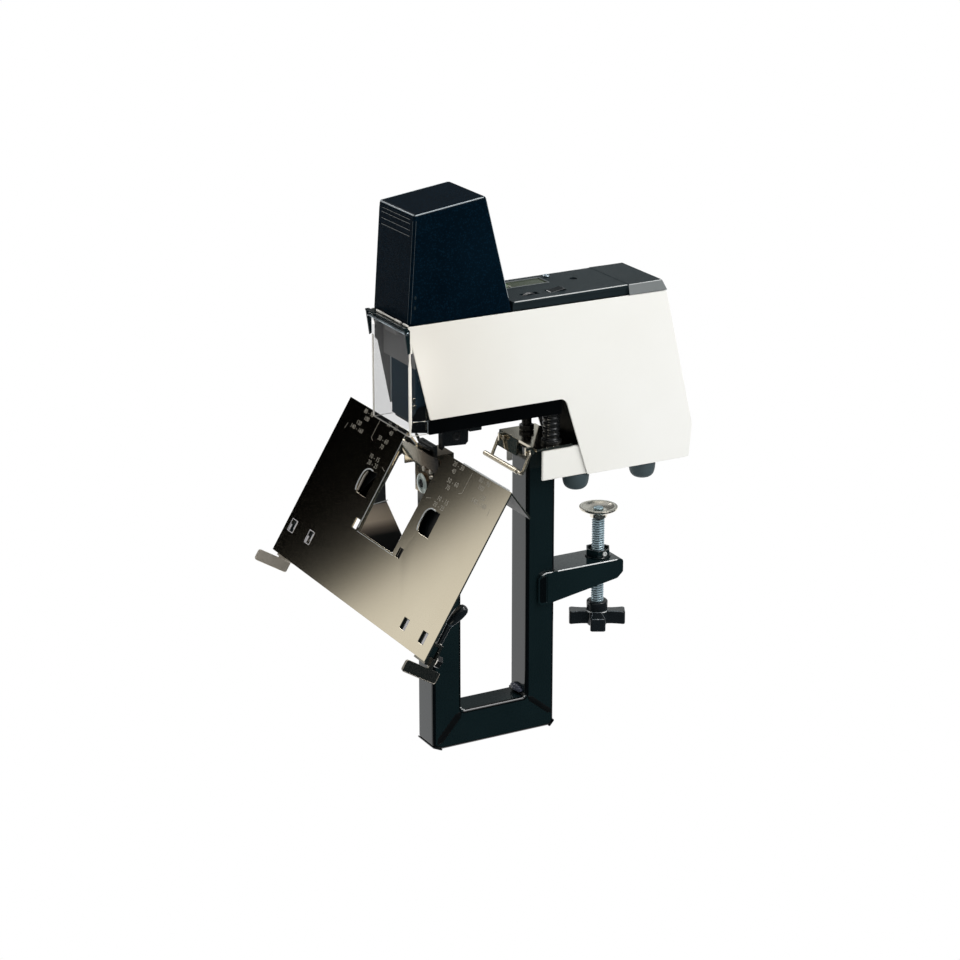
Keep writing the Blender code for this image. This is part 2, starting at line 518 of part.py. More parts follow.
cr, sr = math.cos(SLOPE_R), math.sin(SLOPE_R)
half_bend = (math.pi - SLOPE_F - SLOPE_R) / 2
e1 = (RIDGE[0] - TABLE_LEN * cf, RIDGE[1] - TABLE_LEN * sf)
e2 = (RIDGE[0] + FLAP_LEN * cr, RIDGE[1] - FLAP_LEN * sr)
bis = math.atan2(-(sf + sr), (cr - cf))
inner = (RIDGE[0] + TABLE_T / math.sin(half_bend) * math.cos(bis), RIDGE[1] + TABLE_T / math.sin(half_bend) * math.sin(bis))
sheet = [e1, RIDGE, e2, (e2[0] - TABLE_T * sr, e2[1] - TABLE_T * cr), inner, (e1[0] + TABLE_T * sf, e1[1] - TABLE_T * cf)]
saddle = prism("saddle_plate", sheet, "x", -TABLE_HALF, TABLE_HALF, NICKEL)


def hole(name, pts, lo=-8.0, hi=8.0):
    return cprism(name, [(x, -s) for x, s in pts], "z", lo, hi, frame=PLATE)


def d_hole(x0, x1, s0, s1, flip):
    """Rectangle with one rounded end, like a D."""
    r = (s1 - s0) / 2
    mid = (s0 + s1) / 2
    pts = []
    if flip:
        pts += [(x1, s0), (x1, s1)]
        cx, a0 = x0 + r * 0.55, 90
        for k in range(9):
            a = math.radians(a0 + 180 * k / 8)
            pts.append((cx + 0.55 * r * math.cos(a), mid + r * math.sin(a)))
    else:
        pts += [(x0, s1), (x0, s0)]
        cx = x1 - r * 0.55
        for k in range(9):
            a = math.radians(-90 + 180 * k / 8)
            pts.append((cx + 0.55 * r * math.cos(a), mid + r * math.sin(a)))
    return pts


cut(saddle,
    hole("notch", [(-37.0, -12.0), (36.5, -12.0), (33.0, 100.0), (-33.0, 100.0)]),
    cbox("flap_notch", (-37.0, -123.0, 20.0), (36.5, -90.0, 70.0)),
    hole("corner_a", [(-47.5, 91.5), (-39.5, 91.5), (-39.5, 101.0), (-47.5, 101.0)]),
    hole("corner_b", [(39.5, 91.5), (47.0, 91.5), (47.0, 101.0), (39.5, 101.0)]),
    hole("window_a", d_hole(-73.0, -50.0, 48.0, 72.0, True)),
    hole("window_b", d_hole(50.0, 73.0, 48.0, 72.0, True)),
    hole("slot_a", [(-147.0, 126.0), (-136.5, 126.0), (-136.5, 137.5), (-147.0, 137.5)]),
    hole("slot_b", [(-110.0, 125.5), (-100.5, 125.5), (-100.5, 137.5), (-110.0, 137.5)]),
    hole("slot_c", [(97.5, 139.5), (107.0, 139.5), (107.0, 150.0), (97.5, 150.0)]),
    hole("slot_d", [(132.5, 139.5), (142.0, 139.5), (142.0, 150.5), (132.5, 150.5)]))

# gussets under the plate, beside the notch; they turn on the tilt pin
gusset = [(3.4, -2.0), (10.5, -20.0), (13.4, -27.0), (24.2, -29.0), (21.0, -6.0), (24.0, -4.6), (51.5, -4.6), (65.0, -13.3),
          (88.0, -45.8), (106.0, -45.6), (112.0, -30.0), (112.0, -2.0)]
for label, s in (("saddle_gusset_left", -1), ("saddle_gusset_right", 1)):
    lo, hi = sorted((s * 37.6, s * 39.4))
    g = prism(label, [on_table(0, a, b)[1:] for a, b in gusset], "x", lo, hi, NICKEL)
    cut(g, cdrum(label + "_pin", "x", TILT_PIN, 3.4, lo - 3, hi + 3, n=20))
pin = drum("tilt_pin", "x", TILT_PIN, 3.0, -41.5, 41.5, ZINC, n=20)

# anvil and its carrier on the front post: a block on the post, a face plate with the fixing bolt's head,
# a cross web with an ear at each end for the tilt pin, and a small ear for the paper trigger
carrier = block("anvil_carrier", (-13.5, -127.2, FRONT_TOP + 0.3), (13.5, -104.0, 43.6), NICKEL)
join(carrier, block("carrier_rear", (-13.4, -120.5, 43.4), (13.4, -104.1, 50.0), coll=tools),
     block("carrier_face", (-13.3, -129.3, 12.0), (13.3, -127.9, 26.6), coll=tools),
     block("carrier_face_top", (-13.4, -129.4, 26.4), (13.4, -127.0, 43.5), coll=tools),
     block("carrier_web", (-34.9, -130.9, 39.6), (34.9, -129.2, 52.9), coll=tools),
     block("web_ear_a", (-34.8, -129.3, 30.5), (-33.3, -112.0, 46.0), coll=tools),
     block("web_ear_b", (33.3, -129.3, 30.5), (34.8, -112.0, 46.0), coll=tools),
     drum("carrier_bolt", "y", (3.5, 22.8), 9.4, -131.2, -129.2, coll=tools, n=28),
     block("trigger_ear", (-16.6, -116.0, 31.9), (-13.3, -108.0, 40.1), coll=tools))
cut(carrier, cdrum("carrier_pin", "x", TILT_PIN, 3.35, -40.0, 40.0, n=20),
    cdrum("bolt_hex", "y", (3.5, 22.8), 4.2, -140.0, -130.2, n=6),
    cdrum("trigger_bore", "x", (-112.0, 36.0), 1.7, -20.0, -14.2, n=16))
anvil = block("anvil", (-14.0, -125.4, 44.0), (14.0, -120.9, 59.2), NICKEL)
join(anvil, block("anvil_front", (-13.5, -127.0, 44.2), (10.0, -125.3, 55.4), coll=tools))
bevel(anvil, 0.5, 1)
cut(anvil, cbox("anvil_groove_a", (-6.8, -125.0, 58.2), (-3.2, -123.2, 65.0)),
    cbox("anvil_groove_b", (3.2, -125.0, 58.2), (6.8, -123.2, 65.0)))

# paper trigger: a sprung finger beside the anvil; its trunnion turns in the carrier's small ear
trigger = prism("paper_trigger", [(-113.6, 34.0), (-110.4, 34.0), (-110.2, 38.5), (-120.5, 54.5), (-124.0, 62.0), (-125.6, 61.6),
                                  (-122.4, 53.5), (-113.8, 38.5)], "x", -21.0, -17.6, BLACK_OXIDE)
join(trigger, drum("trigger_trunnion", "x", (-112.0, 36.0), 1.4, -22.0, -14.6, coll=tools, n=16))

# ---- side stops at the lower edge of the table
def tbox(name, x0, x1, s0, s1, n0, n1, mat=None, coll=None):
    return prism(name, [(x0, -s1), (x1, -s1), (x1, -s0), (x0, -s0)], "z", n0, n1, mat, coll, frame=PLATE)


stop_bar = tbox("stop_rail", -150.0, 150.0, 146.0, 156.0, -10.5, -5.5, BLACK_PAINT)
join(stop_bar, tbox("rail_foot", -25.0, 25.0, 146.2, 155.8, -5.7, -1.8, coll=tools),
     tbox("rail_backing", -149.0, 149.0, 122.0, 157.0, -3.5, -1.9, coll=tools))

SIDE = PLATE @ Matrix(((0, 0, 1, 0), (1, 0, 0, 0), (0, 1, 0, 0), (0, 0, 0, 1)))   # outline in (up the plate, normal), extruded along X


def stop_tab(label, s):
    x0, x1 = sorted((s * 150.9, s * 153.3))
    tab = []
    r = 2.2
    corners = [(-165.4 - r, 14.6 - r, 0), (-176.0 + r, 14.6 - r, 90), (-176.0 + r, -22.0 + r, 180), (-165.4 - r, -22.0 + r, 270)]
    for cu_, cn, a0 in corners:
        for k in range(4):
            a = math.radians(a0 + 30 * k)
            tab.append((cu_ + r * math.cos(a), cn + r * math.sin(a)))
    ob = prism(label, tab, "x", x0, x1, NICKEL, frame=SIDE)
    a, b = sorted((s * 150.9, s * 131.5))
    sleeve = tbox(label + "_sleeve", a, b, 143.4, 163.6, -13.6, -4.2, coll=tools)
    arm_ = tbox(label + "_arm", x0, x1, 150.0, 167.0, -12.6, -8.4, coll=tools)
    join(ob, sleeve, arm_)
    cut(ob, tbox("cut_" + label, min(a, b) - 5, max(a, b) + 5, 145.6, 156.4, -10.9, -5.1, coll=tools))
    return ob


stop_tab("stop_left", -1)
right = stop_tab("stop_right", 1)

AX_S, AX_X = 159.0, 138.5     # lock lever axis on the right stop


def tdrum(name, x, s, r, n0, n1, mat=None, coll=None, n=20):
    ob = drum(name, "z", (0, 0), r, n0, n1, mat, coll, n)
    ob.data.transform(PLATE @ Matrix.Translation((x * MM, -s * MM, 0)))
    return ob


join(right, tdrum("lock_stud", AX_X, AX_S, 2.8, -27.0, -12.0, coll=tools, n=16))
lever = tdrum("lock_lever", AX_X, AX_S, 6.4, -19.6, -14.6, BLACK_OXIDE)
join(lever, tbox("lever_bar", AX_X - 2.2, AX_X + 2.2, 121.0, 156.0, -18.6, -15.6, coll=tools))
cut(lever, tdrum("cut_lever_bore", AX_X, AX_S, 3.15, -24.0, -10.0, coll=tools, n=16))
grip = turned("lock_grip", [(0, 21.0), (3.6, 19.8), (5.2, 16.6), (5.2, 11.0), (4.2, 4.0), (3.2, 0.0), (0, 0)], (0, 0, 0), coll=tools, n=16)
grip.matrix_world = (PLATE @ Matrix.Translation((AX_X * MM, -124.0 * MM, -17.1 * MM)) @ Matrix.Rotation(math.radians(-26), 4, "Z")
                     @ Matrix.Rotation(math.radians(-90), 4, "X"))
join(lever, grip)
ln = tdrum("lock_nut", AX_X, AX_S, 5.6, -26.0, -20.0, ZINC, n=6)
cut(ln, tdrum("cut_lock_nut", AX_X, AX_S, 3.1, -30.0, -16.0, coll=tools, n=16))

# ================================================================ wire bail on the post bracket
by, bz = BAIL_PIN
path = [(-20.8, by, bz), (-27.6, by, bz), (-28.7, by - 0.3, bz - 0.5), (-29.0, by - 1.0, bz - 1.6),
        (-29.0, -42.0, 26.6), (-29.0, -43.0, 24.7)]
path2 = [(20.8, by, bz), (27.6, by, bz), (28.7, by - 0.3, bz - 0.5), (29.0, by - 1.0, bz - 1.6),
         (29.0, -41.7, 27.0), (28.4, -42.6, 25.2), (26.6, -43.0, 24.5), (18.0, -43.0, 24.5)]
bail = rod("wire_bail", [(-41.5, -43.0, 24.5), (21.8, -43.0, 24.5)], 2.6, NICKEL, res=3)
join(bail, rod("bail_left", path, 1.6, coll=tools, res=2), rod("bail_right", path2, 1.6, coll=tools, res=2))
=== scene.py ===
import bpy
import bmesh
import json
import math
from mathutils import Matrix, Vector


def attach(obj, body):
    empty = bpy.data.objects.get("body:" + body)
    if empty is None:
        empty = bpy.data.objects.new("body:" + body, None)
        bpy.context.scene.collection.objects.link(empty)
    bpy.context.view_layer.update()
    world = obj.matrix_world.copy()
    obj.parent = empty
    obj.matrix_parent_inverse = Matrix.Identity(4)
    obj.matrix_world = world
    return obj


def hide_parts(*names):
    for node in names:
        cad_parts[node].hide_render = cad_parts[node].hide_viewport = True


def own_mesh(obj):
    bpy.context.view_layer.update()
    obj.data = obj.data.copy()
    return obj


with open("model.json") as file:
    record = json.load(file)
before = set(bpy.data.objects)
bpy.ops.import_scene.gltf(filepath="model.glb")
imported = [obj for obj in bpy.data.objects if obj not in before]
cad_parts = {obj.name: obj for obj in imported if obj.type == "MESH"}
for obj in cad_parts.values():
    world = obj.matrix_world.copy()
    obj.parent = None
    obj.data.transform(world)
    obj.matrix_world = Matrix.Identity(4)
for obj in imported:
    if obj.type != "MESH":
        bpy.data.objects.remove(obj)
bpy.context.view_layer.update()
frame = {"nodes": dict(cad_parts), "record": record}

MM = 0.001
scene = bpy.context.scene
nodes = frame["nodes"]
BODY = {n: b for b, ns in frame["record"]["behaviour"]["bodies"].items() for n in ns}
SLOT = {s["node"]: s["material_slot"] for s in frame["record"]["subparts"]}
DONE = set()


# ================================================================ materials
def nt_new(name):
    m = bpy.data.materials.new(name)
    m.use_nodes = True
    nt = m.node_tree
    return m, nt, nt.nodes["Principled BSDF"]


def link(nt, a, b):
    nt.links.new(a, b)


def tex_obj(nt, scale=(1, 1, 1)):
    tc = nt.nodes.new("ShaderNodeTexCoord")
    mp = nt.nodes.new("ShaderNodeMapping")
    mp.inputs["Scale"].default_value = scale
    link(nt, tc.outputs["Object"], mp.inputs["Vector"])
    return mp.outputs["Vector"]


def noise(nt, vec, scale, detail=3.0, rough=0.55):
    n = nt.nodes.new("ShaderNodeTexNoise")
    n.inputs["Scale"].default_value = scale
    n.inputs["Detail"].default_value = detail
    n.inputs["Roughness"].default_value = rough
    link(nt, vec, n.inputs["Vector"])
    return n.outputs["Fac"]


def remap(nt, val, a, b, lo, hi):
    r = nt.nodes.new("ShaderNodeMapRange")
    r.inputs["From Min"].default_value = a
    r.inputs["From Max"].default_value = b
    r.inputs["To Min"].default_value = lo
    r.inputs["To Max"].default_value = hi
    link(nt, val, r.inputs["Value"])
    return r.outputs["Result"]


def ramp(nt, val, stops):
    r = nt.nodes.new("ShaderNodeValToRGB")
    els = r.color_ramp.elements
    els[0].position, els[0].color = stops[0][0], (*stops[0][1], 1)
    els[1].position, els[1].color = stops[-1][0], (*stops[-1][1], 1)
    for p, c in stops[1:-1]:
        e = els.new(p)
        e.color = (*c, 1)
    link(nt, val, r.inputs["Fac"])
    return r.outputs["Color"]


def bump(nt, p, height, strength, dist=0.001, prev=None):
    b = nt.nodes.new("ShaderNodeBump")
    b.inputs["Strength"].default_value = strength
    b.inputs["Distance"].default_value = dist
    link(nt, height, b.inputs["Height"])
    if prev is not None:
        link(nt, prev, b.inputs["Normal"])
    link(nt, b.outputs["Normal"], p.inputs["Normal"])
    return b.outputs["Normal"]


def paint(name, dark, light, rough, grain, strength, coat=0.0, spread=0.05, patch=14.0, speck=0.0, ior=1.5, metal=0.0, level=0.5, tint=(1, 1, 1), dot=0.09, gain=4.0):
    """Painted or moulded finish: soft colour drift, fine surface grain, roughness that drifts with it."""
    m, nt, p = nt_new(name)
    v = tex_obj(nt)
    drift = noise(nt, v, patch, 4.0)
    fine = noise(nt, v, grain, 4.0, 0.6)
    col = ramp(nt, drift, [(0.3, dark), (0.7, light)])
    if speck:
        vo = nt.nodes.new("ShaderNodeTexVoronoi")
        vo.inputs["Scale"].default_value = speck
        link(nt, v, vo.inputs["Vector"])
        mask = ramp(nt, vo.outputs["Distance"], [(0.0, (1, 1, 1)), (dot, (0, 0, 0))])
        mx = nt.nodes.new("ShaderNodeMix")
        mx.data_type = "RGBA"
        link(nt, mask, mx.inputs["Factor"])
        link(nt, col, mx.inputs[6])
        mx.inputs[7].default_value = (light[0] * gain, light[1] * gain, light[2] * gain, 1)
        col = mx.outputs[2]
    link(nt, col, p.inputs["Base Color"])
    link(nt, remap(nt, fine, 0.3, 0.7, max(0.02, rough - spread), rough + spread), p.inputs["Roughness"])
    p.inputs["Coat Weight"].default_value = coat
    p.inputs["Specular IOR Level"].default_value = level
    p.inputs["Specular Tint"].default_value = (*tint, 1)
    p.inputs["Coat Roughness"].default_value = 0.12
    p.inputs["IOR"].default_value = ior
    p.inputs["Metallic"].default_value = metal
    bump(nt, p, fine, strength, 0.0004)
    return m


def metal(name, dark, light, rough, spread=0.03, stretch=(1, 1, 1), grain=900.0, strength=0.02, patch=22.0):
    """Plated or machined metal: colour drift, fine directional grain."""
    m, nt, p = nt_new(name)
    v = tex_obj(nt)
    vs = tex_obj(nt, stretch)
    drift = noise(nt, v, patch, 3.0)
    fine = noise(nt, vs, grain, 3.0, 0.6)
    link(nt, ramp(nt, drift, [(0.3, dark), (0.7, light)]), p.inputs["Base Color"])
    link(nt, remap(nt, fine, 0.3, 0.7, max(0.02, rough - spread), rough + spread), p.inputs["Roughness"])
    p.inputs["Metallic"].default_value = 1.0
    bump(nt, p, fine, strength, 0.0002)
    return m


M = {}
M["black_paint"] = paint("gloss_black_enamel", (0.0036, 0.0095, 0.0110), (0.0052, 0.0128, 0.0146), 0.12, 420.0, 0.035, coat=0.0, spread=0.03)
M["black_plastic"] = paint("black_moulding", (0.0024, 0.0040, 0.0055), (0.0040, 0.0062, 0.0080), 0.30, 1500.0, 0.14, spread=0.06)
M["tower_plastic"] = paint("tower_moulding", (0.0004, 0.0036, 0.0074), (0.0010, 0.0062, 0.0122), 0.27, 1500.0, 0.30, spread=0.06, speck=560.0, level=0.02, dot=0.42, gain=2.7)
M["edge_black"] = paint("painted_shade_enamel", (0.0006, 0.0012, 0.0016), (0.0010, 0.0018, 0.0022), 0.10, 420.0, 0.02, spread=0.03)
M["gloss_knob"] = paint("gloss_black_phenolic", (0.0062, 0.0088, 0.0108), (0.0098, 0.0130, 0.0156), 0.12, 260.0, 0.03, spread=0.04)
M["charcoal_plastic"] = paint("charcoal_moulding", (0.0075, 0.0150, 0.0180), (0.0120, 0.0210, 0.0250), 0.42, 1700.0, 0.25, spread=0.07, level=0.18)
# lighter charcoal: the window's light rim, a painted highlight on the groove lips and a painted reflection on the deck
# cap's cheeks
M["charcoal_edge"] = paint("charcoal_light_rim_and_painted_sheen", (0.150, 0.165, 0.165), (0.19, 0.205, 0.205), 0.55, 1700.0, 0.18, spread=0.06)
M["head_blue"] = paint("blue_black_moulding", (0.0060, 0.0190, 0.0320), (0.0105, 0.0280, 0.0440), 0.34, 900.0, 0.10, spread=0.06, level=0.15)
M["shade_grey"] = paint("painted_shade_grey", (0.050, 0.048, 0.046), (0.075, 0.072, 0.070), 0.55, 800.0, 0.12, spread=0.06, level=0.3)
M["hood_painted_shade"] = paint("painted_shade_inner_grey", (0.165, 0.163, 0.160), (0.210, 0.208, 0.205), 0.50, 800.0, 0.10, spread=0.06, level=0.3)
M["thread_zinc"] = paint("zinc_thread", (0.33, 0.46, 0.52), (0.50, 0.64, 0.70), 0.26, 900.0, 0.05, metal=0.35)
M["dark_nickel"] = metal("smoked_nickel", (0.085, 0.085, 0.086), (0.150, 0.150, 0.150), 0.20, 0.04, (1, 1, 1), 900.0, 0.01)
M["flap_nickel"] = paint("shaded_nickel", (0.040, 0.041, 0.043), (0.120, 0.120, 0.118), 0.34, 600.0, 0.03, patch=45.0, level=0.10)
M["liner_black"] = paint("liner_black", (0.0008, 0.0011, 0.0014), (0.0016, 0.0022, 0.0028), 0.55, 500.0, 0.20, level=0.01)
M["bail_nickel"] = metal("worn_nickel", (0.40, 0.365, 0.30), (0.50, 0.46, 0.38), 0.27, 0.05, (1, 1, 1), 900.0, 0.02)
M["edge_line"] = paint("painted_edge_highlight", (0.30, 0.34, 0.36), (0.42, 0.46, 0.48), 0.35, 900.0, 0.05)
M["dim_edge_line"] = paint("painted_dim_edge_highlight", (0.060, 0.080, 0.090), (0.095, 0.120, 0.130), 0.35, 900.0, 0.05)
M["knob_line"] = paint("painted_knob_edge_highlight", (0.10, 0.12, 0.13), (0.20, 0.23, 0.25), 0.20, 700.0, 0.05, patch=120.0)
M["bolt_zinc"] = paint("zinc_bolt", (0.34, 0.40, 0.37), (0.50, 0.56, 0.53), 0.22, 500.0, 0.05, metal=0.45)
# near-black: the dressed welds, and painted shade on the panels' inner faces
M["weld_black_and_shade"] = paint("dressed_weld_and_painted_shade", (0.0012, 0.0022, 0.0028), (0.0022, 0.0034, 0.0042), 0.42, 300.0, 0.30, spread=0.08, level=0.22)
M["weld_grey"] = paint("weld_bead_enamel", (0.055, 0.062, 0.092), (0.10, 0.112, 0.155), 0.20, 260.0, 0.25, spread=0.06)
M["satin_nickel"] = metal("satin_nickel", (0.52, 0.47, 0.40), (0.62, 0.57, 0.49), 0.46, 0.06, (1, 1, 1), 1300.0, 0.03)
M["slot_light"] = paint("painted_slot_light", (0.58, 0.56, 0.57), (0.70, 0.68, 0.69), 0.40, 900.0, 0.05)
M["thread_root_shade"] = paint("thread_root_shade", (0.010, 0.013, 0.016), (0.022, 0.027, 0.031), 0.45, 900.0, 0.10)
M["white_paint"] = paint("cream_enamel", (0.885, 0.872, 0.822), (0.920, 0.910, 0.868), 0.36, 950.0, 0.05, spread=0.05, patch=9.0)
# painted shade: the enamel is made darker and warmer toward the stapling end, standing in for the light falling off
# there
nt = M["white_paint"].node_tree
p = [q for q in nt.nodes if q.type == "BSDF_PRINCIPLED"][0]
src = p.inputs["Base Color"].links[0].from_socket
sxyz = nt.nodes.new("ShaderNodeSeparateXYZ")
link(nt, tex_obj(nt), sxyz.inputs[0])
mx = nt.nodes.new("ShaderNodeMix")
mx.data_type = "RGBA"
mx.blend_type = "MULTIPLY"
mx.inputs[0].default_value = 1.0
link(nt, src, mx.inputs[6])
link(nt, ramp(nt, remap(nt, sxyz.outputs["Y"], -0.135, 0.095, 0.0, 1.0), [(0.0, (0.905, 0.878, 0.836)), (0.40, (0.968, 0.972, 0.962)), (1.0, (0.985, 0.992, 0.996))]), mx.inputs[7])
link(nt, mx.outputs[2], p.inputs["Base Color"])
M["nickel"] = metal("bright_nickel", (0.60, 0.545, 0.44), (0.68, 0.625, 0.515), 0.11, 0.03, (1, 1, 1), 1400.0, 0.012)
M["pad_nickel"] = metal("pressed_nickel", (0.80, 0.755, 0.66), (0.90, 0.86, 0.77), 0.20, 0.05, (1, 1, 1), 900.0, 0.02)
M["plate_nickel"] = metal("bright_nickel_sheet", (0.628, 0.566, 0.448), (0.668, 0.610, 0.492), 0.075, 0.02, (1, 1, 1), 1600.0, 0.008, patch=11.0)
M["dull_nickel"] = metal("dull_nickel", (0.22, 0.21, 0.185), (0.27, 0.258, 0.228), 0.22, 0.015, (1, 1, 1), 900.0, 0.003)
M["zinc"] = metal("blue_zinc", (0.40, 0.48, 0.53), (0.55, 0.63, 0.68), 0.22, 0.05, (1, 1, 1), 900.0, 0.03)
M["steel"] = metal("oiled_steel", (0.30, 0.30, 0.305), (0.42, 0.42, 0.42), 0.30, 0.08, (1, 1, 6), 700.0, 0.05)
M["rubber"] = paint("moulded_rubber", (0.036, 0.061, 0.070), (0.056, 0.083, 0.093), 0.58, 1300.0, 0.22, spread=0.08)
M["copper_winding"] = metal("copper_winding", (0.45, 0.15, 0.05), (0.62, 0.24, 0.10), 0.35, 0.06, (1, 1, 40), 60.0, 0.5)
M["circuit_board"] = paint("solder_mask", (0.010, 0.11, 0.04), (0.016, 0.16, 0.06), 0.35, 500.0, 0.12)
M["olive_window"] = paint("olive_film", (0.016, 0.026, 0.010), (0.044, 0.062, 0.022), 0.22, 380.0, 0.05, patch=160.0)
M["green_film"] = paint("green_film", (0.030, 0.085, 0.012), (0.060, 0.150, 0.022), 0.30, 300.0, 0.05, patch=120.0)
M["tab_satin"] = paint("tab_satin", (0.38, 0.345, 0.290), (0.50, 0.455, 0.390), 0.30, 900.0, 0.03, patch=60.0, metal=0.35)
M["black_oxide"] = paint("black_oxide", (0.008, 0.009, 0.010), (0.018, 0.019, 0.020), 0.24, 1000.0, 0.08, spread=0.07, metal=0.35)
M["ink"] = paint("pale_ink", (0.30, 0.28, 0.23), (0.40, 0.37, 0.31), 0.45, 900.0, 0.1)
M["pale_line"] = paint("painted_pale_highlight", (0.49, 0.505, 0.50), (0.60, 0.62, 0.61), 0.35, 900.0, 0.05)
M["arm_highlight_line"] = paint("painted_arm_edge_highlight", (0.70, 0.72, 0.715), (0.80, 0.82, 0.815), 0.30, 700.0, 0.10)
M["cream_highlight"] = paint("painted_cream_highlight", (0.80, 0.765, 0.685), (0.90, 0.865, 0.79), 0.30, 700.0, 0.10)

# anvil bracket: bright plating with a painted reflection that fades through brown to dark toward its right-hand end
m, nt, p = nt_new("graded_nickel")
v = tex_obj(nt)
sxyz = nt.nodes.new("ShaderNodeSeparateXYZ")
link(nt, v, sxyz.inputs[0])
fine = noise(nt, v, 900.0, 3.0)
link(nt, ramp(nt, remap(nt, sxyz.outputs["X"], -0.034, 0.030, 0.0, 1.0), [(0.0, (0.92, 0.86, 0.74)), (0.34, (0.84, 0.75, 0.60)), (0.60, (0.30, 0.23, 0.16)), (1.0, (0.035, 0.028, 0.022))]), p.inputs["Base Color"])
link(nt, remap(nt, fine, 0.3, 0.7, 0.12, 0.20), p.inputs["Roughness"])
p.inputs["Metallic"].default_value = 1.0
bump(nt, p, fine, 0.02, 0.0002)
M["graded_nickel"] = m

# painted reflection on the inner face of the left gusset: dark above its fold, tan below, black towards its foot
m, nt, p = nt_new("gusset_graded")
v = tex_obj(nt)
sxyz = nt.nodes.new("ShaderNodeSeparateXYZ")
link(nt, v, sxyz.inputs[0])
fine = noise(nt, v, 260.0, 3.0)
link(nt, ramp(nt, remap(nt, sxyz.outputs["Z"], -0.045, 0.0, 0.0, 1.0), [(0.0, (0.004, 0.004, 0.004)), (0.20, (0.006, 0.006, 0.006)), (0.36, (0.16, 0.125, 0.095)),
     (0.52, (0.50, 0.41, 0.31)), (0.72, (0.40, 0.33, 0.25)), (0.868, (0.25, 0.21, 0.17)), (0.888, (0.030, 0.032, 0.033)), (1.0, (0.018, 0.020, 0.022))]), p.inputs["Base Color"])
link(nt, remap(nt, fine, 0.3, 0.7, 0.40, 0.50), p.inputs["Roughness"])
p.inputs["Metallic"].default_value = 0.15
bump(nt, p, fine, 0.03, 0.0002)
M["gusset_graded"] = m

# clear polycarbonate: see-through by alpha, glossy, with faint moulding drift
m, nt, p = nt_new("clear_polycarbonate")
v = tex_obj(nt)
fine = noise(nt, v, 40.0, 2.0)
link(nt, ramp(nt, fine, [(0.3, (0.012, 0.015, 0.017)), (0.7, (0.022, 0.025, 0.027))]), p.inputs["Base Color"])
p.inputs["Roughness"].default_value = 0.04
p.inputs["IOR"].default_value = 1.58
lw = nt.nodes.new("ShaderNodeLayerWeight")
lw.inputs["Blend"].default_value = 0.35
link(nt, remap(nt, lw.outputs["Facing"], 0.0, 1.0, 0.05, 0.30), p.inputs["Alpha"])
M["clear_polycarbonate"] = m


# ================================================================ mesh helpers
def raw_mesh(me):
    """Positions and polygons only, so no stale normals come along."""
    out = bpy.data.meshes.new(me.name + "_raw")
    out.from_pydata([v.co[:] for v in me.vertices], [], [list(q.vertices) for q in me.polygons])
    out.update()
    return out


def obj_from(name, data, mats):
    if isinstance(data, bmesh.types.BMesh):
        bmesh.ops.recalc_face_normals(data, faces=data.faces)
        if data.calc_volume(signed=True) < 0:
            bmesh.ops.reverse_faces(data, faces=data.faces)
        me = bpy.data.meshes.new(name)
        data.to_mesh(me)
        data.free()
    else:
        me = data
        me.name = name
    ob = bpy.data.objects.new(name, me)
    scene.collection.objects.link(ob)
    for mt in (mats if isinstance(mats, (list, tuple)) else [mats]):
        me.materials.append(M[mt] if isinstance(mt, str) else mt)
    return ob


def apply_mods(ob):
    dg = bpy.context.evaluated_depsgraph_get()
    me = bpy.data.meshes.new_from_object(ob.evaluated_get(dg))
    mats = [s.material for s in ob.material_slots]
    name = ob.data.name
    old = ob.data
    ob.modifiers.clear()
    ob.data = me
    bpy.data.meshes.remove(old)
    me.name = name
    me.materials.clear()
    for mt in mats:
        me.materials.append(mt)
    return ob


def cutby(ob, *cutters, op="DIFFERENCE", mat_from=False):
    for c in cutters:
        md = ob.modifiers.new("b", "BOOLEAN")
        md.object = c
        md.operation = op
        md.solver = "EXACT"
        md.material_mode = "TRANSFER" if mat_from else "INDEX"
    apply_mods(ob)
    for c in cutters:
        me = c.data
        bpy.data.objects.remove(c, do_unlink=True)
        bpy.data.meshes.remove(me)
    return ob


def rounded(ob, width, segs=3, angle=30, smooth=True, sharp=None, wn=True, edge_mat=-1):
    """Rounded edges and clean shading, kept as modifiers."""
    if width:
        md = ob.modifiers.new("edges", "BEVEL")
        md.width = width * MM
        md.segments = segs
        md.limit_method = "ANGLE"
        md.angle_limit = math.radians(angle)
        md.miter_outer = "MITER_ARC"
        md.use_clamp_overlap = True
        md.material = edge_mat
    ob.data.shade_smooth()
    if sharp is not None:
        ob.data.set_sharp_from_angle(angle=math.radians(sharp))
    if wn:
        w = ob.modifiers.new("normals", "WEIGHTED_NORMAL")
        w.keep_sharp = True
        w.weight = 80
    return ob


def part(ob, node, also=(), hide=True):
    """Stands for a CAD node and moves with its body."""
    names = [node, *also]
    if hide:
        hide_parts(*names)
        DONE.update(names)
    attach(ob, BODY[node])
    return ob


def extra(ob, body):
    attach(ob, body)
    return ob


def skin(node, mat=None, width=0.4, segs=2, angle=30, dissolve=0.6, sharp=50):
    """A cleaned copy of a CAD solid with rounded edges."""
    me = raw_mesh(nodes[node].data)
    bm = bmesh.new()
    bm.from_mesh(me)
    bpy.data.meshes.remove(me)
    bmesh.ops.remove_doubles(bm, verts=bm.verts, dist=3e-6)
    bmesh.ops.dissolve_limit(bm, angle_limit=math.radians(dissolve), verts=bm.verts, edges=bm.edges)
    ob = obj_from(node + "_skin", bm, mat or SLOT[node])
    rounded(ob, width, segs, angle, sharp=sharp)
    return part(ob, node)


def box_bm(lo, hi, bm=None):
    bm = bm or bmesh.new()
    size = [(h - l) * MM for l, h in zip(lo, hi)]
    mid = [(h + l) / 2 * MM for l, h in zip(lo, hi)]
    bmesh.ops.create_cube(bm, size=1.0, matrix=Matrix.Translation(mid) @ Matrix.Diagonal((*size, 1.0)))
    return bm


def box_ob(name, lo, hi, mat="black_paint"):
    return obj_from(name, box_bm(lo, hi), mat)


